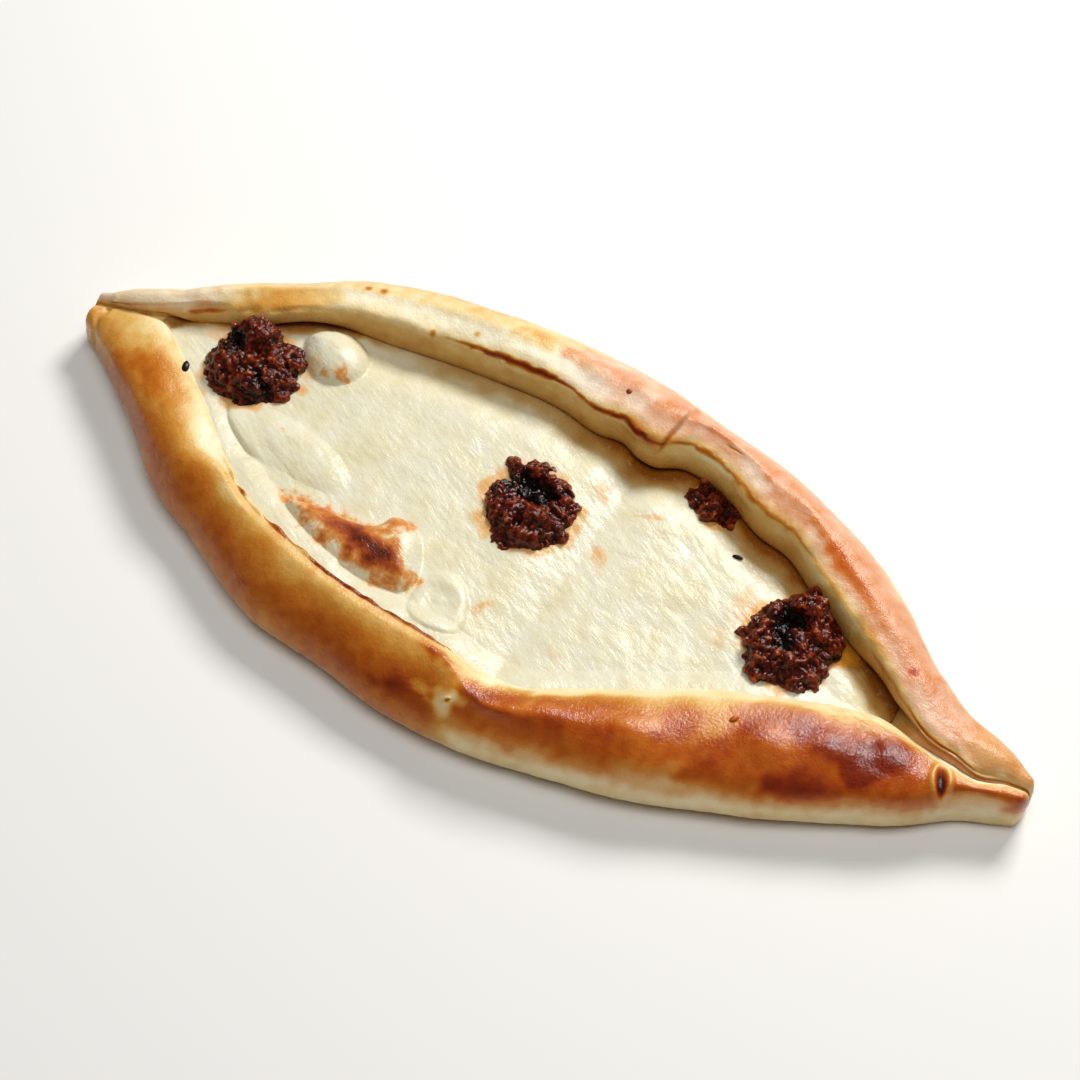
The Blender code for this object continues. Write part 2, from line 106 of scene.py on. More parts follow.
def along(points, x):
    """The smooth curve through the (x, value) points, at x."""
    xs, values = np.array(points, float).T
    slopes = np.gradient(values, xs)
    i = np.clip(np.searchsorted(xs, x) - 1, 0, len(xs) - 2)
    width = xs[i + 1] - xs[i]
    t = np.clip((x - xs[i]) / width, 0.0, 1.0)
    ends = (1 + 2 * t) * (1 - t) ** 2 * values[i] + t * t * (3 - 2 * t) * values[i + 1]
    return ends + width * t * (1 - t) * ((1 - t) * slopes[i] - t * slopes[i + 1])


def rise(start, end, x):
    """0 at start, 1 at end, and smooth between."""
    t = np.clip((x - start) / (end - start), 0.0, 1.0)
    return t * t * (3 - 2 * t)


def hump(value, centre, reach):
    """A ridge along one measure, 1 at its centre and 0 from its reach outwards."""
    return 1 - np.minimum(((value - centre) / reach) ** 2, 1.0)


def bump(x, y, centre, radii, turn=0.0, softness=1.5):
    """A round hill that is 1 at its centre and 0 from its edge outwards. Low softness gives a steep dome."""
    angle = math.radians(turn)
    u = (x - centre[0]) * math.cos(angle) + (y - centre[1]) * math.sin(angle)
    v = (y - centre[1]) * math.cos(angle) - (x - centre[0]) * math.sin(angle)
    away = np.minimum((u / radii[0]) ** 2 + (v / radii[1]) ** 2, 1.0)
    return (1 - away) ** softness


def wobble(places, size, seed):
    """Smooth noise of about -1 to 1 at each place, with features of this size in mm."""
    scaled = places / size + seed
    return np.array([noise.noise(Vector(place)) for place in scaled]) * 2.0


def openness(x):
    """1 where the flaps leave the filling open, 0 where they meet."""
    return rise(OPENING_ENDS[0], OPENING_ENDS[1], x) * rise(OPENING_ENDS[3], OPENING_ENDS[2], x)


def floor_height(x):
    """The dough under the filling, which climbs to the crease at the tips."""
    crease = along(NEAR_LIP_TOP, x) - CREASE_DEPTH
    return FLOOR_HEIGHT + (crease - FLOOR_HEIGHT) * (1 - openness(x))


def climbing(x):
    """1 where the near flap climbs all the way to its free edge, 0 where it is highest half way."""
    return rise(-86.0, -70.0, x) * rise(16.0, 0.0, x)


def crust_corners(x):
    """The corners of the dough's section at each x, from the middle of its underside by the near side."""
    near, far = along(NEAR_WALL, x), along(FAR_WALL, x)
    near_lip, far_lip = along(NEAR_LIP, x), along(FAR_LIP, x)
    near_top = along(NEAR_LIP_TOP, x)
    raised = FAR_LIP_RAISED + LEFT_LIP_RAISED * rise(24.0, 0.0, x)
    far_top = along(FAR_LIP_TOP, x) + raised * rise(-104.0, -80.0, x) * rise(108.0, 88.0, x)
    near_crest, far_crest = along(NEAR_CREST, x), along(FAR_CREST, x)
    opened = openness(x)
    bottom = floor_height(x)
    girth = np.minimum(1.0, (far - near) / 70.0)
    climb = climbing(x)
    near_ridge = near + (0.46 + 0.36 * climb) * (near_lip - near)
    near_fall = np.minimum(3.6 * girth, 0.42 * (near_lip - near_ridge))
    far_ridge = far - 0.50 * (far - far_lip)
    sunk = FAR_LIP_SUNK * rise(-80.0, -60.0, x) * rise(92.0, 74.0, x)
    thickness = TIP_LIP_THICKNESS + (FAR_LIP_THICKNESS + sunk - TIP_LIP_THICKNESS) * opened
    pocket = far_lip + FAR_POCKET_DEPTH * opened
    middle = 0.5 * (near_lip + far_lip)
    ground = 0.0 * x
    corners = (
        (0.5 * (near + far), ground),
        (near + 0.25 * (far - near), ground),
        (near + 6.0 * girth, ground),
        (near + 1.6 * girth, 0.11 * near_crest),
        (near - 0.6 * girth, 0.36 * near_crest),
        (near + (1.2 + 0.8 * climb) * girth, 0.63 * near_crest),
        (near + (5.2 + 1.4 * climb) * girth, (0.87 - 0.04 * climb) * near_crest),
        (near_ridge, near_crest),
        (near_lip - near_fall, near_top + 0.5 * (near_crest - near_top)),
        (near_lip, near_top),
        (near_lip + 0.9 * girth, near_top - 1.6),
        (near_lip + 0.4 * opened, near_top - 1.8 - 1.6 * opened),
        (near_lip + 0.2, bottom + 1.6 * opened),
        (near_lip + 0.25 * (middle - near_lip), bottom),
        (middle, bottom),
        (pocket - 0.2 * (pocket - middle), bottom),
        (pocket, bottom + 2.2 * opened),
        (pocket - 0.4 * opened, far_top - thickness - 0.8 * opened),
        (far_lip + 2.4 * opened, far_top - thickness + 0.2),
        (far_lip, far_top - thickness + 0.5),
        (far_lip + 0.1, far_top - 0.3 * thickness),
        (far_lip + 1.6 * girth, far_top),
        (far_lip + 6.0 * girth, far_top + 0.75 * (far_crest - far_top)),
        (far_ridge, far_crest),
        (far - 3.4 * girth, 0.82 * far_crest),
        (far, 0.56 * far_crest),
        (far + 0.4 * girth, 0.30 * far_crest),
        (far - 5.0 * girth, ground),
    )
    return np.array(corners).transpose(2, 0, 1)


def closed_curves(corners, steps):
    """A smooth closed curve through each station's corners, with a set number of points after each corner."""
    before, start = np.roll(corners, 1, axis=1), corners
    end, after = np.roll(corners, -1, axis=1), np.roll(corners, -2, axis=1)

    def root(a, b):
        return np.maximum(np.linalg.norm(a - b, axis=2, keepdims=True), 1e-6) ** 0.5

    lead, span, trail = root(before, start), root(start, end), root(end, after)
    leave = span * ((start - before) / lead - (end - before) / (lead + span)) + (end - start)
    arrive = (end - start) - span * (after - start) / (span + trail) + span * (after - end) / trail
    points = []
    for k, count in enumerate(steps):
        for step in range(count):
            t = step / count
            blend = (1 + 2 * t) * (1 - t) ** 2 * start[:, k] + t * t * (3 - 2 * t) * end[:, k]
            points.append(blend + t * (1 - t) ** 2 * leave[:, k] - t * t * (1 - t) * arrive[:, k])
    return np.array(points).transpose(1, 0, 2)


def rounded_ends(rings, stations, ends, rounding):
    """The rings, with those near both ends drawn in towards their own middles."""
    from_end = np.minimum(stations - ends[0], ends[1] - stations)
    past = np.maximum(0.0, 1 - from_end / rounding)
    share = np.sqrt(np.maximum(0.0, 1 - past**2))[:, None, None]
    middles = 0.5 * (rings.min(axis=1, keepdims=True) + rings.max(axis=1, keepdims=True))
    return middles + (rings - middles) * share


def add_object(name, data):
    """An object in the scene that shows this mesh, light or camera."""
    obj = bpy.data.objects.new(name, data)
    bpy.context.scene.collection.objects.link(obj)
    return obj


def finished(name, bm):
    """The modelled mesh as an object in the scene."""
    mesh = bpy.data.meshes.new(name)
    bm.to_mesh(mesh)
    bm.free()
    return add_object(name, mesh)


def loft(name, stations, rings, corner_of):
    """A closed skin over the rings, which keeps each point's corner number as an attribute."""
    around = rings.shape[1]
    bm = bmesh.new()
    bmesh.ops.create_grid(bm, x_segments=len(stations) - 1, y_segments=around, size=1.0)
    corner_layer = bm.verts.layers.float.new("corner")
    for vert in bm.verts:
        i = round((vert.co.x + 1) / 2 * (len(stations) - 1))
        j = round((vert.co.y + 1) / 2 * around) % around
        vert[corner_layer] = corner_of[j]
        vert.co = (stations[i] * MM, rings[i, j, 0] * MM, rings[i, j, 1] * MM)
    bmesh.ops.remove_doubles(bm, verts=bm.verts, dist=MERGE_WITHIN * MM)
    bmesh.ops.recalc_face_normals(bm, faces=bm.faces)
    return finished(name, bm)


def places_of(obj):
    """The object's points in mm, and its normals."""
    places = np.empty(len(obj.data.vertices) * 3, np.float32)
    obj.data.vertices.foreach_get("co", places)
    normals = np.empty(len(obj.data.vertices) * 3, np.float32)
    obj.data.vertex_normals.foreach_get("vector", normals)
    return places.reshape(-1, 3).astype(float) / MM, normals.reshape(-1, 3).astype(float)


def set_places(obj, places):
    """Moves the object's points to these places in mm."""
    obj.data.vertices.foreach_set("co", (places * MM).astype(np.float32).ravel())
    obj.data.update()


def read_field(obj, name):
    """The values of a point attribute."""
    values = np.empty(len(obj.data.vertices), np.float32)
    obj.data.attributes[name].data.foreach_get("value", values)
    return values.astype(float)


def write_field(obj, name, values):
    """Keeps values from 0 to 1 as a point attribute that a material can read."""
    field = obj.data.attributes.new(name, "FLOAT", "POINT")
    field.data.foreach_set("value", np.clip(values, 0.0, 1.0).astype(np.float32))


def settle(obj):
    """Moves the piece from the measuring frame into the shared one and shades it smooth."""
    obj.data.transform(Matrix.Translation((-CENTRE[0] * MM, -CENTRE[1] * MM, 0.0)))
    obj.data.polygons.foreach_set("use_smooth", [True] * len(obj.data.polygons))
    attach(obj, "root")


# The sections stand a little closer together at the tips, where the shape changes fast.
spread = np.linspace(-1.0, 1.0, CRUST_STATIONS)
half = 0.5 * (RIGHT_END - LEFT_END)
stations = LEFT_END + half + half * (0.80 * spread + 0.20 * np.sin(spread * math.pi / 2))
corner_of = np.concatenate([k + np.arange(count) / count for k, count in enumerate(RING_STEPS)])
rings = closed_curves(crust_corners(stations), RING_STEPS)
rings[:, :, 1] = np.maximum(rings[:, :, 1], 0.0)
rings = rounded_ends(rings, stations, (LEFT_END, RIGHT_END), END_ROUNDING)
dough = loft("dough", stations, rings, corner_of)

# Its relief: the pleat where the far flap's left length laps over the right one, air blisters, the scorched
# blister that split near the right tip, the layers turned in at the left tip and hand-shaped unevenness.
# Corners are numbered as crust_corners lists them: 7 is the near flap's crest, 9 its free edge, 20 the far
# flap's lip, 21 the top of the lip and 23 that flap's crest. Each blister or dent is (x, y, half length,
# half width, turn in degrees, height).
BLISTERS = (
    (-30, 46, 26, 8, 0, 0.5), (62, 34, 20, 8, -28, 0.5), (106, 7, 10, 6, -20, -0.8), (120, 3, 7, 5, 0, 0.8),
    (7.5, -47.5, 5.0, 4.6, 0, 1.1), (88, -15, 7, 6, 0, 0.8), (74, -22, 7, 6, 0, 0.8), (100, -9, 6, 5, 0, 0.7),
    (94, -8.5, 5, 3, -20, -0.7), (-119, 14, 9, 5, 25, 0.7), (-110, 15, 5, 3, 25, -0.5),
    (-7, 46, 6, 5, 0, 0.6), (4, 46, 5, 5, 0, 0.5), (-20, 42, 8, 4, 0, 0.4), (30, -41, 8, 5, 10, 0.5),
    (48, -34, 7, 5, 20, 0.5), (-119, -9, 2.2, 3.0, 0, -0.9),
)
PLEAT_AT, PLEAT_LEAN = 15.5, 0.2
PLEAT_STEP, PLEAT_GROOVE = 0.9, 0.45
TURNED_IN_STEP = 0.8
TIP_CREASE_AT, TIP_CREASE_DEPTH = -126.6, 0.7
WRINKLES_AT, WRINKLES_REACH, WRINKLES_TURN = (87.0, -5.0), (13.0, 5.0), -8
WRINKLE_SPACING, WRINKLE_HEIGHT = 1.8, 0.22
SPLIT_AT, SPLIT_TURN, SPLIT_HEIGHT = (112.0, -8.7), 24, 1.5
SPLIT_REACH, SPLIT_HOLLOW, SPLIT_SCORCH = (3.4, 5.6), (1.9, 4.2), (1.7, 4.0)
NIPPLE_AT, NIPPLE_REACH, NIPPLE_HEIGHT = (7.5, -48.2), (1.3, 1.3), 0.5
CRACK_AT, CRACK_REACH, CRACK_TURN, CRACK_DEPTH = (31.5, 42.0), (3.8, 0.26), -9, 0.2

places, normals = places_of(dough)
x, y, z = places.T
corner = read_field(dough, "corner")
top = rise(9.0, 13.0, z)
outside = np.clip(rise(9.9, 9.0, corner) + rise(19.6, 20.4, corner), 0.0, 1.0)
big = wobble(places, 11.0, 21.0)
small = wobble(places, 4.0, 31.0)
relief = 0.45 * wobble(places, 20.0, 5.0) * rise(1.0, 5.0, z)
relief += 0.10 * wobble(places, 7.0, 2.0) * rise(1.0, 4.0, z)
relief += 0.05 * wobble(places, 2.2, 4.0)

past_pleat = x - (PLEAT_AT + PLEAT_LEAN * (y - 35.0)) + 0.25 * small
on_far = rise(19.8, 20.6, corner) * rise(24.4, 23.2, corner)
relief += on_far * PLEAT_STEP * rise(-14.0, -1.6, past_pleat) * rise(0.25, -0.35, past_pleat)
relief -= on_far * PLEAT_GROOVE * rise(-0.2, 0.3, past_pleat) * rise(10.0, 1.0, past_pleat)
for at_x, at_y, length, width, turn, height in BLISTERS:
    relief += height * bump(x, y, (at_x, at_y), (length, width), turn) * rise(3.0, 9.0, z)

# The flaps' free edges: thin and wavy along the near one, lifted clear of the crease at the right tip.
near_edge = hump(corner, 9.25, 0.7) * rise(-86.0, -70.0, x) * rise(8.0, -4.0, x)
relief += near_edge * (0.35 + 0.4 * small)
relief += hump(corner, 20.7, 1.0) * (0.30 * small + 0.25 * big)
lifted = rise(96.0, 103.0, x) * rise(120.0, 113.0, x)
relief += 0.4 * lifted * hump(corner, 21.0, 1.3)
relief -= 0.2 * lifted * hump(corner, 8.9, 1.1)
turned_in_at = 21.25 + 0.25 * np.sin((x + 126.0) * math.pi / 26.0) + 0.05 * small
turned_in = rise(-128.5, -126.0, x) * rise(-98.0, -103.0, x) * rise(24.5, 22.5, corner)
relief += TURNED_IN_STEP * turned_in * rise(turned_in_at, turned_in_at + 0.12, corner)
tip_crease = hump(x + 0.5 * small, TIP_CREASE_AT, 1.3) * rise(3.0, 5.0, corner) * rise(9.4, 8.6, corner)
relief -= TIP_CREASE_DEPTH * tip_crease

# Its wrinkles by the opening's right end, the split blister with its rim, and the pale blister's nipple.
wrinkled = bump(x, y, WRINKLES_AT, WRINKLES_REACH, WRINKLES_TURN)
relief += WRINKLE_HEIGHT * wrinkled * np.sin((y + 0.16 * x + 0.5 * small) * 2 * math.pi / WRINKLE_SPACING)
split = bump(x, y, SPLIT_AT, SPLIT_REACH, SPLIT_TURN) * rise(5.0, 8.0, z)
relief += SPLIT_HEIGHT * split * (1 - 1.5 * bump(x, y, SPLIT_AT, SPLIT_HOLLOW, SPLIT_TURN, 0.8))
relief += NIPPLE_HEIGHT * bump(x, y, NIPPLE_AT, NIPPLE_REACH)
crack = bump(x, y, CRACK_AT, CRACK_REACH, CRACK_TURN) * top
relief -= CRACK_DEPTH * crack
moved = places + normals * (relief * outside * (z > 0.05))[:, None]
moved[:, 2] = np.minimum(moved[:, 2], TOP_LIMIT)
set_places(dough, moved)

# Its baking: a field from 0, raw pale dough, to 1, scorched. The tops brown first, and the edges, the folds
# and the band above the stone stay pale. The far lip's face and its underside are browner than its top,
# partly as fat stain and partly as painted shade. Each profile is (corner, baking) round one stretch of the
# boat, and each patch is (station, corner, reach x, reach corner, change).
LEFT_PROFILE = (
    (0, 0.40), (2, 0.38), (2.8, 0.34), (3.4, 0.46), (4.2, 0.60), (5, 0.66), (5.8, 0.66), (6.4, 0.60),
    (6.9, 0.50), (7.4, 0.40), (8, 0.32), (8.7, 0.25), (9.4, 0.12), (10, 0.24), (11.5, 0.36), (17, 0.40),
    (18.4, 0.46), (19.2, 0.44), (20.3, 0.36), (21, 0.22), (21.6, 0.08), (22.2, 0.06), (23, 0.24), (24, 0.34),
    (25, 0.24), (26, 0.14), (27, 0.28), (28, 0.40),
)
CLIMBING_PROFILE = (
    (0, 0.40), (2, 0.38), (2.8, 0.36), (3.4, 0.48), (4.2, 0.58), (4.8, 0.66), (5.4, 0.72), (5.9, 0.72),
    (6.2, 0.66), (6.45, 0.57), (6.7, 0.47), (6.95, 0.41), (7.4, 0.40), (8.2, 0.36), (8.8, 0.34), (9.4, 0.16),
    (10, 0.24),
)
RIGHT_PROFILE = (
    (0, 0.40), (2, 0.38), (2.8, 0.36), (3.6, 0.26), (4.5, 0.22), (4.85, 0.34), (5.2, 0.52), (5.7, 0.66),
    (6.3, 0.70), (6.8, 0.72), (7.2, 0.65), (7.6, 0.50), (8.0, 0.33), (8.3, 0.20), (9, 0.13), (10, 0.24),
    (11.5, 0.40), (17, 0.48), (18.4, 0.54), (19.2, 0.48), (19.9, 0.40), (20.4, 0.34), (20.8, 0.34),
    (21.3, 0.34), (21.8, 0.36), (22.3, 0.40), (23, 0.44), (24, 0.40), (25, 0.24), (26, 0.14), (27, 0.28),
    (28, 0.40),
)
BAKED_PATCHES = (
    (-128, 5.4, 16, 1.6, -0.16), (-106, 7.2, 7, 0.8, 0.20), (-95, 5.6, 10, 0.8, 0.03),
    (-78, 8.2, 10, 0.9, -0.18), (-86, 8.0, 9, 0.8, -0.08), (-97, 7.5, 8, 0.8, 0.14),
    (-116, 8.4, 10, 0.8, -0.10), (-72, 7.1, 10, 0.5, -0.10), (-52, 6.0, 10, 0.5, -0.06),
    (-15, 5.8, 9, 0.7, -0.04), (-2, 5.4, 7, 0.8, 0.12), (8, 5.9, 6.4, 0.70, -0.48), (45, 7.8, 22, 0.5, 0.07),
    (8.5, 5.9, 1.2, 0.13, 0.66), (9, 7.3, 9, 0.9, 0.22), (18, 8.1, 7, 0.9, 0.34), (30, 6.5, 12, 0.9, 0.03),
    (41, 7.7, 8, 0.6, 0.08), (55, 5.6, 9, 0.7, -0.20), (61, 6.6, 8, 0.8, -0.08), (51, 7.2, 8, 0.7, 0.12),
    (64, 6.0, 14, 0.8, 0.04), (84, 5.9, 9, 0.8, 0.22), (76, 7.8, 12, 0.7, 0.24), (29, 7.8, 8, 0.5, 0.22),
    (60, 7.2, 7, 0.4, -0.10), (44, 7.2, 6, 0.4, -0.06), (97, 6.2, 8, 0.8, 0.12), (90, 7.5, 16, 0.8, 0.24),
    (99, 6.8, 8, 0.8, 0.24), (102, 7.8, 10, 0.9, 0.28), (92, 8.6, 10, 0.6, 0.08), (114, 9.2, 8, 0.9, -0.26),
    (121, 5.6, 9, 1.0, -0.28), (127, 7.0, 4, 1.0, -0.05), (112, 10, 18, 1.6, 0.10),
    (112, 19.3, 18, 1.0, -0.22), (-122, 10, 12, 1.6, 0.30), (-90, 21.8, 17, 1.6, 0.40),
    (-118, 21.3, 13, 1.3, 0.16), (-113, 18.7, 6, 1.2, 0.30), (-104, 21.0, 5, 0.6, 0.08),
    (-25, 22.7, 9, 0.9, 0.20), (-6, 22.9, 11, 0.8, 0.16), (12, 20.9, 9, 0.5, 0.20), (20, 22.8, 6, 0.8, 0.0),
    (41, 22.0, 8, 0.8, -0.20), (26, 20.6, 9, 0.5, -0.12), (66, 22.3, 10, 0.9, 0.22), (77, 22.3, 8, 0.8, 0.12),
    (88, 22.4, 10, 0.9, 0.04), (80, 21.3, 9, 0.5, 0.12), (31, 20.7, 8, 0.5, -0.14),
    (104, 22.4, 10, 0.9, -0.05),
)
EDGE_SCORCHES = (
    (-65, 9.0, 2.6, 0.5, 0.55), (-50, 9.05, 8, 0.50, 0.46), (-28, 9.05, 17, 0.55, 0.70),
    (-7, 9.1, 10, 0.55, 0.58), (-25, 20.9, 19, 0.28, 0.72), (3, 20.8, 13, 0.25, 0.60),
    (26, 20.95, 9, 0.22, 0.40), (44, 21.0, 17, 0.20, 0.26), (66, 21.0, 12, 0.20, 0.14),
    (108, 20.7, 11, 0.45, 0.46), (-103, 20.6, 5, 0.4, 0.34), (92, 20.3, 10, 0.35, 0.22),
)
# The small scorched flecks on the far flap, as (x, y, size).
FLECKS = ((-70, 39, 1.0), (-66, 40, 1.1), (-39, 40, 0.9), (95, 11, 1.3), (-49, 35.5, 0.8))
MOST_BAKED = 0.90

places, normals = places_of(dough)
x, y, z = places.T
fine = wobble(places, 2.6, 31.0)
warped_x = x + 4.0 * big + 1.2 * fine
warped_corner = corner + 0.16 * wobble(places, 9.0, 41.0) + 0.05 * fine
from_left = np.interp(warped_corner, *np.array(LEFT_PROFILE).T)
from_right = np.interp(warped_corner, *np.array(RIGHT_PROFILE).T)
bake = from_left + (from_right - from_left) * rise(-12.0, 14.0, warped_x)
from_climb = np.interp(warped_corner, *np.array(CLIMBING_PROFILE).T)
on_climb = rise(-84.0, -70.0, warped_x) * rise(10.0, -2.0, warped_x) * rise(10.2, 9.4, corner)
bake += (from_climb - bake) * on_climb
for station, at, reach, reach_corner, change in BAKED_PATCHES:
    bake += change * bump(warped_x, warped_corner, (station, at), (reach, reach_corner), 0, 1.0)
edge_corner = corner + 0.07 * fine
for station, at, reach, reach_corner, change in EDGE_SCORCHES:
    bake += change * bump(x + 1.5 * fine, edge_corner, (station, at), (reach, reach_corner), 0, 0.6)
bake += 0.04 * big + 0.03 * fine
# The pleat's groove and the crack are made browner: painted shade in their hollows.
bake += 0.18 * on_far * hump(past_pleat, 0.3, 0.7) * rise(44.0, 37.0, y) + 0.15 * crack
bake = np.minimum(bake, MOST_BAKED)
bake -= 0.40 * split
scorch = 0.85 * bump(x, y, SPLIT_AT, SPLIT_SCORCH, SPLIT_TURN, 0.8) * rise(5.0, 8.0, z)
for at_x, at_y, size in FLECKS:
    scorch += 0.40 * bump(x, y, (at_x, at_y), (size * 1.3, size * 1.3)) * top

# Where its brown is rosy and not golden: the right length of the far flap, a little of the near one, the far
# layer of the left tip and the crease of the right one. On the far flap the pale pinks are painted sheen over
# the brown; at the left tip and in the right tip's crease they are painted light on shaded dough; on the near
# flap it is the dough's own redder brown.
rosy_and_painted_sheen = rise(-22.0, -6.0, warped_x) * rise(21.0, 21.8, corner) * rise(25.0, 23.6, corner)
rosy_and_painted_sheen *= 0.95 - 0.5 * rise(108.0, 118.0, x)
rosy_and_painted_sheen += 0.35 * rise(4.0, 20.0, warped_x) * rise(4.2, 4.8, corner) * rise(7.9, 7.1, corner)
rosy_and_painted_sheen += 0.5 * rise(-98.0, -104.0, x) * rise(20.2, 20.8, corner) * rise(25.0, 23.6, corner)
rosy_and_painted_sheen += 0.6 * rise(98.0, 104.0, x) * rise(9.2, 9.8, corner) * rise(20.2, 19.4, corner)
write_field(dough, "bake", bake)
write_field(dough, "scorch", scorch)
write_field(dough, "rosy_and_painted_sheen", rosy_and_painted_sheen)


def linear(hex_colour):
    """An sRGB hex colour as linear red, green, blue and alpha."""
    parts = [int(hex_colour[k : k + 2], 16) / 255 for k in (1, 3, 5)]
    return (*[p / 12.92 if p <= 0.04045 else ((p + 0.055) / 1.055) ** 2.4 for p in parts], 1.0)


def new_material(name):
    """A material, its node tree and its shader."""
    made = bpy.data.materials.new(name)
    made.use_nodes = True
    return made, made.node_tree, made.node_tree.nodes["Principled BSDF"]


def feed(node, inputs):
    """Gives each of the node's inputs its value, or links it to an output."""
    for socket, value in inputs.items():
        if isinstance(value, bpy.types.NodeSocket):
            node.id_data.links.new(value, node.inputs[socket])
        else:
            node.inputs[socket].default_value = value


def add_node(tree, kind, inputs=None, stops=None, **settings):
    """Adds a node with its settings, its input values or links, and a ramp's stops."""
    made = tree.nodes.new(kind)
    for name, value in settings.items():
        setattr(made, name, value)
    feed(made, inputs or {})
    if stops:
        made.color_ramp.elements.remove(made.color_ramp.elements[1])
    for k, (position, colour) in enumerate(stops or ()):
        stop = made.color_ramp.elements.new(position) if k else made.color_ramp.elements[0]
        stop.position = position
        stop.color = linear(colour)
    return made


# Baked bread dough, brushed with fat: pale cream to red-brown by the baking field, mottled in patches of
# 4.5 mm with specks of 0.7 mm. Where it is rosy, the ramp's pale pinks are painted sheen and its darks a
# redder brown. A leathery grain of 0.9 mm breaks the sheen into sparks, and the gloss is wetter where it is
# darker.
bread, tree, shader = new_material("baked_dough")
spot = add_node(tree, "ShaderNodeTexCoord").outputs["Object"]
baking = add_node(tree, "ShaderNodeAttribute", attribute_name="bake").outputs["Fac"]
scorching = add_node(tree, "ShaderNodeAttribute", attribute_name="scorch").outputs["Fac"]
rosiness_and_sheen = add_node(tree, "ShaderNodeAttribute", attribute_name="rosy_and_painted_sheen").outputs["Fac"]
mottle = add_node(
    tree, "ShaderNodeTexNoise", {"Vector": spot, "Scale": 220.0, "Detail": 5.0, "Roughness": 0.6}
)
speck = add_node(
    tree, "ShaderNodeTexNoise", {"Vector": spot, "Scale": 1500.0, "Detail": 3.0, "Roughness": 0.6}
)
mottled = add_node(
    tree, "ShaderNodeMath", {0: mottle.outputs["Fac"], 1: 0.18, 2: baking}, operation="MULTIPLY_ADD"
)
specked = add_node(
    tree,
    "ShaderNodeMath",
    {0: speck.outputs["Fac"], 1: 0.08, 2: mottled.outputs[0]},
    operation="MULTIPLY_ADD",
)
levelled = add_node(tree, "ShaderNodeMath", {0: specked.outputs[0], 1: 0.13}, operation="SUBTRACT")
dark = add_node(tree, "ShaderNodeMath", {0: levelled.outputs[0], 1: scorching}, operation="ADD")
golden = add_node(
    tree,
    "ShaderNodeValToRGB",
    {"Fac": dark.outputs[0]},
    stops=(
        (0.04, "#F4EBCF"), (0.22, "#EBD39A"), (0.36, "#DCB062"), (0.50, "#CB8A34"), (0.62, "#BC6A1A"),
        (0.73, "#A8500C"), (0.84, "#8A3306"), (0.93, "#6A1E06"), (1.0, "#3A1006"),
    ),
)
# The rosy ramp: its pale pinks are painted sheen over brown, its darks a redder brown.
blushed_and_sheen = add_node(
    tree,
    "ShaderNodeValToRGB",
    {"Fac": dark.outputs[0]},
    stops=(
        (0.04, "#F6E6D2"), (0.22, "#EBCCB0"), (0.36, "#DCA684"), (0.50, "#D07C3C"), (0.62, "#C45A12"),
        (0.73, "#B03E06"), (0.84, "#902406"), (0.93, "#6A1606"), (1.0, "#3A1006"),
    ),
)
colour = add_node(
    tree,
    "ShaderNodeMix",
    {0: rosiness_and_sheen, 6: golden.outputs["Color"], 7: blushed_and_sheen.outputs["Color"]},
    data_type="RGBA",
)
gloss = add_node(
    tree,
    "ShaderNodeMapRange",
    {"Value": levelled.outputs[0], "From Min": 0.15, "From Max": 0.7, "To Min": 0.38, "To Max": 0.20},
)
grain = add_node(
    tree, "ShaderNodeTexNoise", {"Vector": spot, "Scale": 1100.0, "Detail": 4.0, "Roughness": 0.65}
)
leather = add_node(
    tree, "ShaderNodeBump", {"Height": grain.outputs["Fac"], "Strength": 0.5, "Distance": 0.00045}
)
feed(
    shader,
    {
        "Base Color": colour.outputs[2],
        "Roughness": gloss.outputs["Result"],
        "Normal": leather.outputs["Normal"],
        "Specular IOR Level": 0.52,
        "Subsurface Weight": 0.08,
        "Subsurface Radius": (1.0, 0.5, 0.25),
        "Subsurface Scale": 0.003,
    },
)
dough.data.materials.append(bread)
settle(dough)
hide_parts("crust")

# The cheese: a mild white cheese, shredded into the boat, melted to one sheet that ran under the far flap
# and up to the near one. It rose in bubbles, slid into a fold at the left and toasted on its highest blister.
CHEESE_ENDS = (-113.0, 95.0)
CHEESE_END_ROUNDING = 3.0
CHEESE_STATIONS, POINTS_ABOVE, POINTS_BELOW = 400, 226, 8
MELT_LEVEL = 10.2
LEAST_DEPTH = 0.8
# How far the sheet's top drops under the far lip, and how far it stays below the near one.
UNDER_LIP_DROP = 1.8
BELOW_NEAR_LIP = 0.6
# The raised forms' outlines, as (x, y), with the height and the width of the roll at each one's edge.
BUBBLE = ((-79, 21), (-78, 25), (-73, 29), (-67, 30), (-60, 26), (-59, 18), (-64, 12.5), (-72, 12.5))
BUBBLE_HEIGHT, BUBBLE_ROLL = 6.8, 8.5
SHEET = (
    (-77, -21), (-72, -17.5), (-68, -12.5), (-63, -16), (-58, -16), (-53, -13.6), (-47, -14.5), (-41, -14.5),
    (-34, -20), (-34, -44), (-60, -42), (-84, -28),
)
SHEET_HEIGHT, SHEET_ROLL = 1.2, 2.4
BLISTER = (
    (-58, -21), (-46, -18), (-36, -18), (-32, -16), (-31, -12), (-27, -11), (-21, -14), (-16, -24),
    (-18, -29), (-31, -31), (-44, -28),
)
BLISTER_HEIGHT, BLISTER_ROLL = 4.4, 6.5
DISC = ((-16, -29), (-15, -20), (-11, -17.4), (-6, -19), (-2, -24), (0, -30), (-2, -34), (-12, -35))
DISC_HEIGHT, DISC_ROLL = 1.3, 3.6
DISC_DIMPLE_AT = (-9, -26)
FOLD_AT, FOLD_REACH, FOLD_TURN, FOLD_HEIGHT = (-60, -7.5), (24, 9.0), -12, 4.0
HILL_AT, HILL_REACH, HILL_TURN, HILL_HEIGHT = (82, 5), (9, 6), -20, 1.8
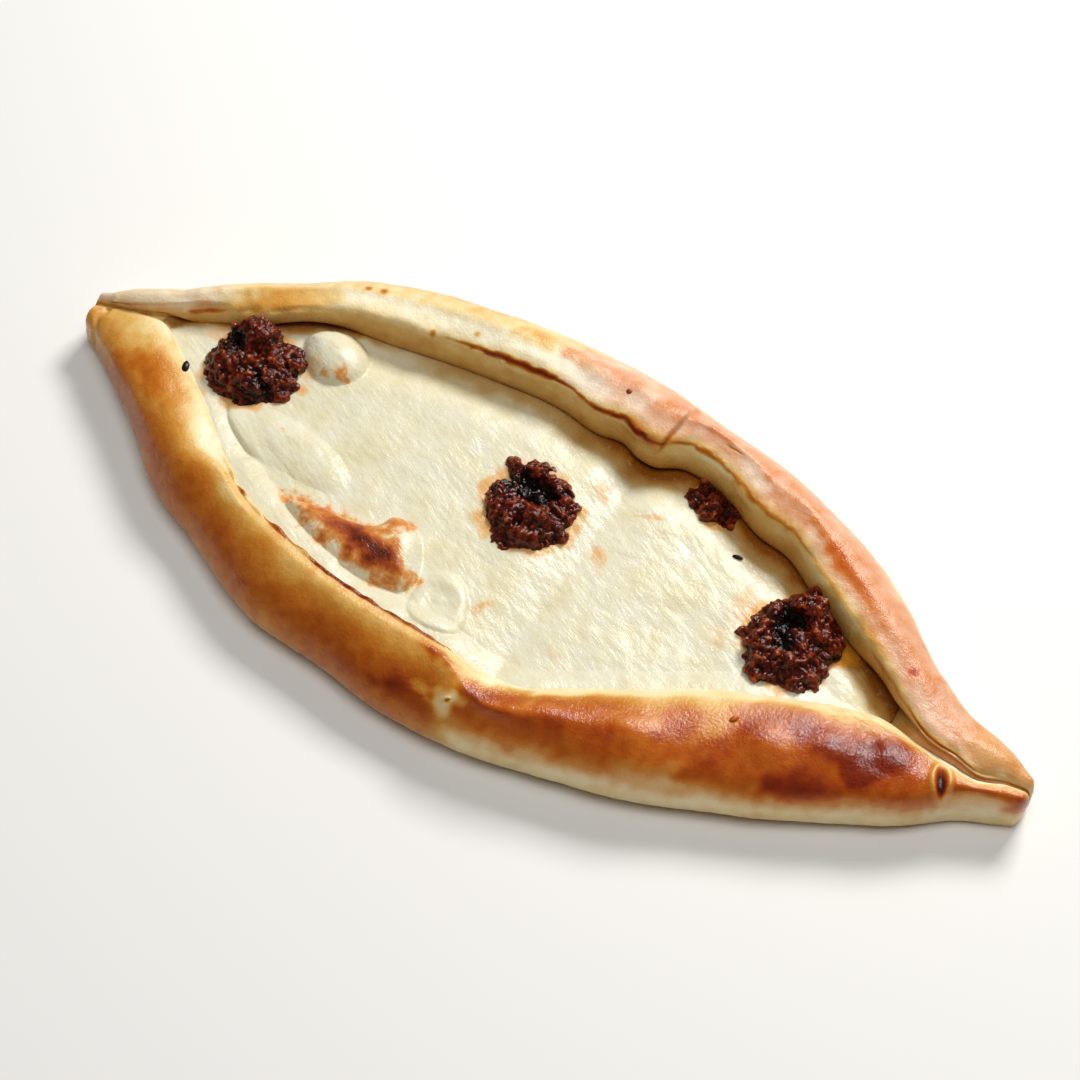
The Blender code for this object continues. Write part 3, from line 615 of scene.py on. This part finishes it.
# The lumps of meat, which press their sockets into the cheese: the reach in eight directions round the centre
# from +X, the hollows as (x, y, radius, depth), and the peak as (x, y, radius, height).
LUMPS = {
    "meat_left": {
        "centre": (-84.5, 8.0),
        "reach": (13.5, 13.0, 12.0, 15.0, 11.0, 11.5, 11.0, 12.0),
        "height": 8.0,
        "hollows": ((-92.0, 11.0, 3.6, 4.0), (-79.0, 2.0, 3.4, 2.4), (-84.0, 7.0, 2.6, 2.0)),
        "peak": (-88.5, 16.5, 5.0, 4.4),
        "crumbs": 75,
    },
    "meat_mid": {
        "centre": (-4.6, 7.2),
        "reach": (11.0, 11.5, 14.0, 15.0, 12.0, 11.0, 14.0, 13.0),
        "height": 6.4,
        "hollows": ((-9.0, 11.0, 4.4, 4.4), (-2.5, 11.5, 4.2, 4.2), (-4.0, 3.0, 2.6, 1.6)),
        "peak": (-2.0, -2.0, 6.0, 1.4),
        "crumbs": 75,
    },
    "meat_right": {
        "centre": (66.5, 6.5),
        "reach": (10.5, 12.0, 14.5, 13.0, 11.0, 11.5, 13.5, 13.0),
        "height": 6.8,
        "hollows": ((64.0, 10.5, 4.2, 4.6), (65.5, 4.5, 3.2, 3.2)),
        "peak": (67.0, 16.5, 6.0, 3.0),
        "crumbs": 75,
    },
    "meat_tuck": {
        "centre": (33.0, 33.0),
        "reach": (6.0, 4.6, 4.4, 7.0, 7.5, 5.5, 5.0, 7.5),
        "height": 1.9,
        "hollows": (),
        "peak": (33.0, 33.0, 4.0, 0.0),
        "crumbs": 16,
    },
}
SOCKET_DEPTH, SOCKET_SHARE = 2.4, 0.86


def inside_depth(x, y, outline):
    """How far each point lies inside the closed outline in mm, negative outside. The outline's corners
    are cut twice, so that it turns smoothly."""
    corners = np.array(outline, float)
    for _ in range(2):
        after = np.roll(corners, -1, axis=0)
        cut = (0.75 * corners + 0.25 * after, 0.25 * corners + 0.75 * after)
        corners = np.stack(cut, axis=1).reshape(-1, 2)
    distance = np.full(np.shape(x), 1e9)
    inside = np.zeros(np.shape(x), bool)
    for start, end in zip(corners, np.roll(corners, -1, axis=0)):
        edge = end - start
        off_x, off_y = x - start[0], y - start[1]
        share = np.clip((off_x * edge[0] + off_y * edge[1]) / (edge @ edge), 0.0, 1.0)
        distance = np.minimum(distance, np.hypot(off_x - share * edge[0], off_y - share * edge[1]))
        spans = (start[1] > y) != (end[1] > y)
        inside ^= spans & (x < start[0] + off_y * edge[0] / (edge[1] if edge[1] else 1e-9))
    return np.where(inside, distance, -distance)


def pillow(x, y, outline, height, roll):
    """A raised form over the outline, which rolls up from a crease at its edge within the roll's width."""
    share = np.clip(inside_depth(x, y, outline) / roll, 0.0, 1.0)
    return height * np.sqrt(1 - (1 - share) ** 2)


def cheese_height(x, y):
    """The top of the filling, with its bubbles, folds and the sockets that the meat lies in."""
    near_lip, near_top = along(NEAR_LIP, x), along(NEAR_LIP_TOP, x)
    flush_right = rise(8.0, 24.0, x) * rise(92.0, 74.0, x)
    flush_left = 1.3 * rise(-104.0, -90.0, x) * rise(16.0, 0.0, x)
    edge = (near_top - MELT_LEVEL) * (0.28 + 0.46 * np.maximum(flush_right, flush_left))
    height = MELT_LEVEL + edge * rise(14.0, 0.0, y - near_lip) - 0.5 * rise(34.0, 44.0, y)
    height = height + pillow(x, y, BUBBLE, BUBBLE_HEIGHT, BUBBLE_ROLL)
    fold = FOLD_HEIGHT * bump(x, y, FOLD_AT, FOLD_REACH, FOLD_TURN, 0.55)
    laid = np.maximum(fold, pillow(x, y, SHEET, SHEET_HEIGHT, SHEET_ROLL))
    height = height + laid * rise(0.0, 7.0, y - near_lip)
    blister = pillow(x, y, BLISTER, BLISTER_HEIGHT, BLISTER_ROLL)
    height = np.maximum(height, MELT_LEVEL + 0.5 * edge + blister)
    height = height + pillow(x, y, DISC, DISC_HEIGHT, DISC_ROLL)
    height -= 0.8 * bump(x, y, DISC_DIMPLE_AT, (5.4, 5.0))
    height += 0.4 * bump(x, y, DISC_DIMPLE_AT, (1.8, 1.6))
    height += HILL_HEIGHT * bump(x, y, HILL_AT, HILL_REACH, HILL_TURN)
    for lump in LUMPS.values():
        reach = SOCKET_SHARE * float(np.mean(lump["reach"]))
        depth = SOCKET_DEPTH * min(1.0, lump["height"] / 4)
        height -= depth * bump(x, y, lump["centre"], (reach, reach), 0, 0.75)
    height -= UNDER_LIP_DROP * rise(15.0, 3.0, along(FAR_LIP, x) - y) * rise(-76.0, -52.0, x)
    climb = (0.04 + 0.34 * rise(-66.0, -50.0, x)) * np.maximum(y - near_lip, 0.0)
    return np.minimum(height, near_top - BELOW_NEAR_LIP + climb)


stations = np.linspace(*CHEESE_ENDS, CHEESE_STATIONS)
near_side = (along(NEAR_LIP, stations) + 0.3 - 0.9 * openness(stations))[:, None]
far_side = (along(FAR_LIP, stations) + (FAR_POCKET_DEPTH - 0.5) * openness(stations))[:, None]
bottom = (floor_height(stations) + 0.2)[:, None]
above_y = near_side + (far_side - near_side) * np.linspace(0.0, 1.0, POINTS_ABOVE)
above_z = cheese_height(stations[:, None] + 0 * above_y, above_y)
above_z -= 0.8 * rise(-7.0, 0.0, above_y - far_side)
above_z = np.maximum(above_z, bottom + LEAST_DEPTH)
below_y = near_side + (far_side - near_side) * np.linspace(0.9, 0.1, POINTS_BELOW)
below_z = bottom + 0 * below_y
rings = np.stack((np.hstack((above_y, below_y)), np.hstack((above_z, below_z))), axis=2)
rings = rounded_ends(rings, stations, CHEESE_ENDS, CHEESE_END_ROUNDING)
cheese = loft("melted_cheese", stations, rings, np.zeros(rings.shape[1]))

# Its relief: a slack, uneven surface with the shreds still showing as low ridges, 28 degrees off the length.
places, normals = places_of(cheese)
x, y, z = places.T
upward = rise(0.2, 0.6, normals[:, 2])
relief = 0.24 * wobble(places, 12.0, 3.0) + 0.08 * wobble(places, 4.0, 5.0)
strand = np.stack((x * 0.883 - y * 0.469, (x * 0.469 + y * 0.883) * 3.0, z), axis=1)
relief += 0.05 * wobble(strand, 3.2, 7.0)
set_places(cheese, places + normals * (relief * upward)[:, None])

# What colours it: toast on the blisters, orange fat that seeped out round each lump and ran into hollows,
# and a browner tone where it runs under the far lip, partly fat stain and partly painted shadow of the lip.
# Each patch is (x, y, half length, half width, turn, strength).
TOAST_PATCHES = (
    (-38, -22.5, 25, 8.2, -10, 0.36), (-36, -22.6, 13, 5.0, -14, 0.30), (-29.5, -22.5, 9, 5.8, -25, 0.32),
    (-22.5, -25, 7.6, 6.0, 0, 0.36), (-27.5, -14.6, 6.0, 4.6, 0, 0.38), (-54, -20, 9, 2.2, 0, 0.16),
    (-63, 17, 3.0, 2.6, 0, 0.36), (-67, 15, 2.4, 2.1, 0, 0.30), (-69, 21.5, 2.6, 2.2, 0, 0.22),
    (-68, -5, 5, 3, 0, 0.17),
)
FAT_PATCHES = (
    (8, 21, 6, 3, -30, 0.55), (21, 21, 6, 1.4, 25, 0.6), (17, 4, 5, 2.2, -60, 0.7), (0, -22, 5, 2, 20, 0.7),
    (23, -15, 5, 2, 0, 0.2), (21, -24, 5, 2, 0, 0.3), (7, 34, 6, 3, 0, 0.35), (52, 10, 6, 8, 0, 0.5),
    (50, 0, 4, 5, 0, 0.4), (-72, 14, 4, 6, 0, 0.6), (-97, 14, 8, 3, 25, 0.6), (-93, -4, 5, 3, 0, 0.4),
    (-104, 9, 4, 4, 0, 0.3), (80, 12, 5, 4, -30, 0.5),
)
places, normals = places_of(cheese)
x, y, z = places.T
warp = wobble(places, 4.5, 51.0)
toast = 0.0 * x
for at_x, at_y, length, width, turn, strength in TOAST_PATCHES:
    toast += strength * bump(x + 1.5 * warp, y + 1.2 * warp, (at_x, at_y), (length, width), turn, 1.1)
fat = 0.0 * x
for at_x, at_y, length, width, turn, strength in FAT_PATCHES:
    fat += strength * bump(x + 1.6 * warp, y - 1.4 * warp, (at_x, at_y), (length, width), turn, 1.0)
for lump in LUMPS.values():
    reach = float(np.mean(lump["reach"]))
    away = np.hypot(x - lump["centre"][0], y - lump["centre"][1]) + 2.2 * warp
    fat += 0.75 * rise(reach + 2.0, reach - 1.2, away)
# The band along the far lip is painted shadow of the lip, partly also fat stain: darkest at the lip, gone 12
# mm out.
from_lip = along(FAR_LIP, x) - y
seep_and_lip_shadow = rise(12.0, -1.0, from_lip + 1.0 * warp) * rise(-66.0, -44.0, x) * (0.6 + 0.4 * rise(-20.0, 10.0, x))
seep_and_lip_shadow += 0.8 * rise(4.0, 0.0, from_lip + warp) * rise(-52.0, -70.0, x)
write_field(cheese, "seep_and_lip_shadow", seep_and_lip_shadow)
write_field(cheese, "toast", toast)
write_field(cheese, "fat", fat)

# Melted white cheese: ivory with clouds of 8 mm, slightly translucent and oily, with pores of 0.9 mm. The
# shreds still show as fine ridges of 3.4 by 0.6 mm that all run one way. Along the far lip it is golden to
# brown, as painted shadow of the lip and partly fat stain. The edges of the fat, of that band and of the
# brown to black toast are broken up in patches of 2 mm.
melt, tree, shader = new_material("melted_white_cheese")
spot = add_node(tree, "ShaderNodeTexCoord").outputs["Object"]
toasting = add_node(tree, "ShaderNodeAttribute", attribute_name="toast").outputs["Fac"]
fatness = add_node(tree, "ShaderNodeAttribute", attribute_name="fat").outputs["Fac"]
seep_and_shadow = add_node(tree, "ShaderNodeAttribute", attribute_name="seep_and_lip_shadow").outputs["Fac"]
strand_space = add_node(
    tree,
    "ShaderNodeMapping",
    {"Vector": spot, "Rotation": (0.0, 0.0, math.radians(-28)), "Scale": (0.0034, 0.0006, 0.0010)},
    vector_type="TEXTURE",
)
strands = add_node(
    tree,
    "ShaderNodeTexNoise",
    {"Vector": strand_space.outputs[0], "Scale": 1.0, "Detail": 2.0, "Roughness": 0.5, "Distortion": 1.0},
)
cloud = add_node(
    tree, "ShaderNodeTexNoise", {"Vector": spot, "Scale": 120.0, "Detail": 5.0, "Roughness": 0.6}
)
mottle = add_node(
    tree, "ShaderNodeTexNoise", {"Vector": spot, "Scale": 520.0, "Detail": 5.0, "Roughness": 0.65}
)
base = add_node(
    tree, "ShaderNodeValToRGB", {"Fac": cloud.outputs["Fac"]}, stops=((0.35, "#E0DCC6"), (0.65, "#DAD2AE"))
)
# The band under the far lip, golden to brown: painted shadow of the lip and partly fat stain.
shadow_seep_edge = add_node(
    tree, "ShaderNodeMath", {0: mottle.outputs["Fac"], 1: 0.22, 2: seep_and_shadow}, operation="MULTIPLY_ADD"
)
shadow_seep_share = add_node(
    tree, "ShaderNodeMapRange", {"Value": shadow_seep_edge.outputs[0], "From Min": 0.10, "From Max": 0.60}
)
shadow_seep_colour = add_node(
    tree,
    "ShaderNodeValToRGB",
    {"Fac": shadow_seep_edge.outputs[0]},
    stops=((0.25, "#D6CAA2"), (0.50, "#C6AA72"), (0.80, "#B08040"), (1.0, "#8E5014")),
)
shadow_seeped = add_node(
    tree,
    "ShaderNodeMix",
    {0: shadow_seep_share.outputs["Result"], 6: base.outputs["Color"], 7: shadow_seep_colour.outputs["Color"]},
    data_type="RGBA",
)
fat_edge = add_node(
    tree, "ShaderNodeMath", {0: mottle.outputs["Fac"], 1: 0.9, 2: fatness}, operation="MULTIPLY_ADD"
)
fat_share = add_node(
    tree,
    "ShaderNodeMapRange",
    {"Value": fat_edge.outputs[0], "From Min": 0.62, "From Max": 1.35, "To Max": 0.85},
)
oiled = add_node(
    tree,
    "ShaderNodeMix",
    {0: fat_share.outputs["Result"], 6: shadow_seeped.outputs[2], 7: linear("#DE9628")},
    data_type="RGBA",
)
toast_edge = add_node(
    tree, "ShaderNodeMath", {0: mottle.outputs["Fac"], 1: 0.7, 2: toasting}, operation="MULTIPLY_ADD"
)
toast_level = add_node(tree, "ShaderNodeMath", {0: toast_edge.outputs[0], 1: 0.40}, operation="SUBTRACT")
toast_colour = add_node(
    tree,
    "ShaderNodeValToRGB",
    {"Fac": toast_level.outputs[0]},
    stops=(
        (0.05, "#E8DFC0"), (0.20, "#DDA35E"), (0.38, "#C47434"), (0.58, "#9C461C"), (0.8, "#5E200E"),
        (1.0, "#2A0E08"),
    ),
)
toast_share = add_node(
    tree, "ShaderNodeMapRange", {"Value": toast_level.outputs[0], "From Min": 0.02, "From Max": 0.26}
)
browned = add_node(
    tree,
    "ShaderNodeMix",
    {0: toast_share.outputs["Result"], 6: oiled.outputs[2], 7: toast_colour.outputs["Color"]},
    data_type="RGBA",
)
ridges = add_node(
    tree, "ShaderNodeBump", {"Height": strands.outputs["Fac"], "Strength": 0.2, "Distance": 0.0005}
)
pores = add_node(
    tree, "ShaderNodeTexNoise", {"Vector": spot, "Scale": 1100.0, "Detail": 3.0, "Roughness": 0.6}
)
pits = add_node(
    tree,
    "ShaderNodeBump",
    {"Height": pores.outputs["Fac"], "Strength": 0.3, "Distance": 0.0005, "Normal": ridges.outputs["Normal"]},
)
shine = add_node(
    tree,
    "ShaderNodeMapRange",
    {"Value": mottle.outputs["Fac"], "From Min": 0.35, "From Max": 0.65, "To Min": 0.17, "To Max": 0.38},
)
feed(
    shader,
    {
        "Base Color": browned.outputs[2],
        "Roughness": shine.outputs["Result"],
        "Normal": pits.outputs["Normal"],
        "Specular IOR Level": 0.4,
        "Subsurface Weight": 0.25,
        "Subsurface Radius": (1.0, 0.8, 0.45),
        "Subsurface Scale": 0.003,
    },
)
cheese.data.materials.append(melt)
settle(cheese)
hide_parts("cheese")

# The meat: minced beef fried with tomato paste and spooned on in lumps, which the oven dried and darkened.
# Each lump is a heap of crumbs of a few millimetres, stuck together with fat, with one or two deep hollows.
HEAP_BASE, HOLLOW_FLOOR = 9.6, 9.9
HEAP_UNDERSIDE = 2.6
CORE_SHARE = 0.93
SMALLEST_CRUMB, LARGEST_CRUMB = 0.8, 3.2
FUSED_WITHIN = 0.22


def lump_core(lump, direction):
    """Where the lump's plain heap ends in this direction."""
    reach = lump["reach"]
    turn = math.atan2(direction.y, direction.x) / (2 * math.pi) * len(reach)
    first = math.floor(turn)
    part = float(rise(0.0, 1.0, turn - first))
    size = reach[first % len(reach)] * (1 - part) + reach[(first + 1) % len(reach)] * part
    x = lump["centre"][0] + CORE_SHARE * size * direction.x
    y = lump["centre"][1] + CORE_SHARE * size * direction.y
    z = HEAP_BASE + (lump["height"] * direction.z**0.8 if direction.z > 0 else HEAP_UNDERSIDE * direction.z)
    upper = float(rise(-0.1, 0.5, direction.z))
    for at_x, at_y, radius, depth in lump["hollows"]:
        z -= upper * depth * float(bump(x, y, (at_x, at_y), (radius * 1.5, radius * 1.5)))
    at_x, at_y, radius, height = lump["peak"]
    z += upper * height * float(bump(x, y, (at_x, at_y), (radius * 1.5, radius * 1.5)))
    if direction.z > 0.1:
        z = max(z, HOLLOW_FLOOR)
    return Vector((x, y, z))


def minced_lump(name, lump, seed):
    """A heap of crumbs over the core, fused into one skin, which keeps how far each point stands out and
    how deep it lies in a hollow, for painted shade.
    """
    draw = np.random.default_rng(seed)
    bm = bmesh.new()
    bmesh.ops.create_icosphere(bm, subdivisions=5, radius=1.0)
    for vert in bm.verts:
        vert.co = lump_core(lump, vert.co.normalized()) * MM
    middle = lump_core(lump, Vector((0, 0, 1))) * 0.5 + Vector((*lump["centre"], 8.0)) * 0.5
    for _ in range(lump["crumbs"]):
        azimuth = draw.uniform(0, 2 * math.pi)
        height = draw.uniform(-0.12, 1.0)
        flat = math.sqrt(max(0.0, 1 - height**2))
        place = lump_core(lump, Vector((flat * math.cos(azimuth), flat * math.sin(azimuth), height)))
        radius = min(SMALLEST_CRUMB + draw.exponential(1.0), LARGEST_CRUMB)
        place += (middle - place).normalized() * 0.45 * radius
        added = bmesh.ops.create_icosphere(bm, subdivisions=2, radius=1.0)["verts"]
        stretch = Matrix.Diagonal((1.3 * radius, radius, 0.9 * radius, 1.0))
        turn = Matrix.Rotation(draw.uniform(0, 6.3), 4, "Z")
        turn = turn @ Matrix.Rotation(draw.uniform(-0.9, 0.9), 4, "X")
        for vert in added:
            rough = 1 + 0.6 * noise.noise(vert.co * 1.3 + place)
            vert.co = (turn @ stretch @ (vert.co * rough) + place) * MM
    obj = finished(name, bm)
    fuse = obj.modifiers.new("fuse", "REMESH")
    fuse.mode = "VOXEL"
    fuse.voxel_size = FUSED_WITHIN * MM
    bpy.context.view_layer.update()
    fused = bpy.data.meshes.new_from_object(obj.evaluated_get(bpy.context.evaluated_depsgraph_get()))
    obj.modifiers.clear()
    obj.data = fused
    places, normals = places_of(obj)
    edges = np.empty(len(obj.data.edges) * 2, np.int32)
    obj.data.edges.foreach_get("vertices", edges)
    edges = edges.reshape(-1, 2)
    degree = np.maximum(np.bincount(edges.ravel(), minlength=len(places)), 1)[:, None]

    def smoothed(points, times):
        for _ in range(times):
            total = np.zeros_like(points)
            np.add.at(total, edges[:, 0], points[edges[:, 1]])
            np.add.at(total, edges[:, 1], points[edges[:, 0]])
            points = total / degree
        return points

    set_places(obj, smoothed(places, 6))
    places, normals = places_of(obj)
    fibrous = 0.5 - np.abs(wobble(places, 1.7, seed))
    relief = 0.20 * fibrous + 0.50 * wobble(places, 2.9, seed + 3) + 0.22 * wobble(places, 1.2, seed + 5)
    relief += 0.10 * wobble(places, 0.6, seed + 9)
    set_places(obj, places + normals * relief[:, None])
    places, normals = places_of(obj)
    # How far each point stands out from the smoothed skin, and how deep it lies in a hollow: both become
    # painted shade.
    stands_out_shade = np.einsum("ij,ij->i", places - smoothed(places, 10), normals)
    x, y, z = places.T
    hollow_shade = 0.0 * x
    for at_x, at_y, radius, depth in lump["hollows"]:
        hollow_shade += 0.16 * depth * bump(x, y, (at_x, at_y), (1.3 * radius, 1.3 * radius), 0, 1.0)
    write_field(obj, "stands_out_shade", 0.5 + 1.2 * stands_out_shade)
    write_field(obj, "hollow_shade", hollow_shade * rise(lump["height"] + 10.4, lump["height"] + 7.0, z))
    return obj


# Dark fried mince under a film of fat: red-brown to orange in patches of 3 mm, with painted shade that is
# near black in the hollows and lighter on the crumbs that stand out. Fibres of 0.7 mm break the highlights of
# the wet skin up.
mince, tree, shader = new_material("fried_mince")
spot = add_node(tree, "ShaderNodeTexCoord").outputs["Object"]
standing_shade = add_node(tree, "ShaderNodeAttribute", attribute_name="stands_out_shade").outputs["Fac"]
hollow_shading = add_node(tree, "ShaderNodeAttribute", attribute_name="hollow_shade").outputs["Fac"]
crumb_tone = add_node(
    tree, "ShaderNodeTexNoise", {"Vector": spot, "Scale": 300.0, "Detail": 5.0, "Roughness": 0.6}
)
fibre = add_node(
    tree, "ShaderNodeTexNoise", {"Vector": spot, "Scale": 1400.0, "Detail": 4.0, "Roughness": 0.7}
)
# Painted shade: lighter on the crumbs that stand out, darker in the crevices and near black in the hollows.
toned = add_node(
    tree, "ShaderNodeMath", {0: crumb_tone.outputs["Fac"], 1: 0.9, 2: standing_shade}, operation="MULTIPLY_ADD"
)
deep = add_node(
    tree, "ShaderNodeMath", {0: hollow_shading, 1: -0.75, 2: toned.outputs[0]}, operation="MULTIPLY_ADD"
)
meat_level = add_node(
    tree, "ShaderNodeMapRange", {"Value": deep.outputs[0], "From Min": 0.55, "From Max": 1.35}
)
meat_colour = add_node(
    tree,
    "ShaderNodeValToRGB",
    {"Fac": meat_level.outputs["Result"]},
    stops=((0.0, "#080201"), (0.25, "#220602"), (0.50, "#481005"), (0.75, "#722408"), (1.0, "#A04C18")),
)
wet = add_node(tree, "ShaderNodeBump", {"Height": fibre.outputs["Fac"], "Strength": 0.35, "Distance": 0.0005})
feed(
    shader,
    {
        "Base Color": meat_colour.outputs["Color"],
        "Normal": wet.outputs["Normal"],
        "Roughness": 0.16,
        "Specular IOR Level": 0.4,
    },
)

for seed, (name, lump) in enumerate(LUMPS.items(), 3):
    meat = minced_lump(name.replace("meat", "mince"), lump, seed)
    meat.data.materials.append(mince)
    settle(meat)
    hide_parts(name)

# The seed and flakes: a nigella seed from the dough's edge, a shred of scorched herb on the cheese and a few
# crumbs of paprika and burnt flour that stuck to the greased dough. Each is (x, y, z, length, width, turn in
# degrees, colour).
GRAINS = (
    (-98.6, -0.6, 13.5, 3.3, 1.8, 108.0, "#0E0B0A"),
    (44.3, 21.6, 10.9, 2.6, 1.1, 10.0, "#120D0B"),
    (2.0, 43.5, 21.7, 1.8, 1.5, 20.0, "#8E2A18"),
    (11.5, 36.8, 18.8, 2.2, 1.3, 130.0, "#7A2012"),
    (65.5, -20.0, 16.4, 2.3, 1.4, 60.0, "#B5561F"),
    (80.0, 16.5, 17.6, 1.6, 1.1, 10.0, "#9A1C12"),
)
for k, (at_x, at_y, at_z, length, width, turn, colour_hex) in enumerate(GRAINS):
    bm = bmesh.new()
    bmesh.ops.create_icosphere(bm, subdivisions=3, radius=1.0)
    for vert in bm.verts:
        vert.co *= 1 + 0.18 * noise.noise(vert.co * 2.2 + Vector((k, 0, 0)))
    shape = Matrix.Diagonal((0.5 * length * MM, 0.5 * width * MM, 0.4 * width * MM, 1.0))
    turned = Matrix.Rotation(math.radians(turn), 4, "Z")
    bm.transform(Matrix.Translation((at_x * MM, at_y * MM, at_z * MM)) @ turned @ shape)
    grain_piece = finished(f"grain_{k}", bm)
    # A dry seed coat or a scorched flake, with a dull sheen.
    tone, tree, shader = new_material(f"grain_skin_{k}")
    feed(shader, {"Base Color": linear(colour_hex), "Roughness": 0.4})
    grain_piece.data.materials.append(tone)
    settle(grain_piece)

# The floor: a plain board painted matt white, whose edge stays out of the picture. It carries the pide and
# is no part of it.
FLOOR_REACH = 3.0
bm = bmesh.new()
bmesh.ops.create_grid(bm, x_segments=1, y_segments=1, size=FLOOR_REACH)
floor = finished("floor", bm)
board, tree, shader = new_material("white_board")
feed(shader, {"Base Color": linear("#ECEBE8"), "Roughness": 0.8})
floor.data.materials.append(board)

# The light: a soft window behind and to the right, which leaves the near walls in shade, and a pale room
# with a bright ceiling that lights the dough but leaves no sheen on it.
LIT_POINT = (0.0, 0.0, 0.01)


def aim(obj, place, target):
    """Stands the object at the place and turns its -Z axis to the target."""
    obj.location = place
    obj.rotation_euler = (Vector(target) - Vector(place)).to_track_quat("-Z", "Y").to_euler()


def soft_light(name, size, watts, place):
    """A rectangular light of this size in metres, turned to the piece."""
    light = bpy.data.lights.new(name, "AREA")
    light.shape = "RECTANGLE"
    light.size, light.size_y = size
    light.energy = watts
    obj = add_object(name, light)
    aim(obj, place, LIT_POINT)
    return obj


window = soft_light("window", (0.34, 0.26), 7.9, (0.057, 0.662, 0.607))
window.data.color = (1.0, 0.985, 0.96)
ceiling = soft_light("ceiling", (0.80, 0.60), 7.0, (0.16, -0.16, 1.17))
ceiling.visible_glossy = False
room = bpy.data.worlds.new("room")
bpy.context.scene.world = room
room.use_nodes = True
feed(room.node_tree.nodes["Background"], {"Color": (1.0, 0.98, 0.95, 1.0), "Strength": 0.09})
bpy.context.scene.view_settings.view_transform = "Standard"

# The camera: from above the near side, turned so that the boat lies across the frame from corner to corner.
# Its tilt, distance and lens bring the boat's outline onto the one in the photograph.
AZIMUTH, ELEVATION, DISTANCE = math.radians(30.82), math.radians(57.0), 0.62
TARGET = Vector((0.00199, 0.00136, 0.010))
FOCAL_LENGTH, SENSOR_WIDTH = 87.0, 36.0
back = Vector(
    (math.sin(AZIMUTH) * math.cos(ELEVATION), -math.cos(AZIMUTH) * math.cos(ELEVATION), math.sin(ELEVATION))
)
lens = bpy.data.cameras.new("camera")
lens.lens = FOCAL_LENGTH
lens.sensor_width = SENSOR_WIDTH
camera = add_object("camera", lens)
aim(camera, TARGET + back * DISTANCE, TARGET)
bpy.context.scene.camera = camera
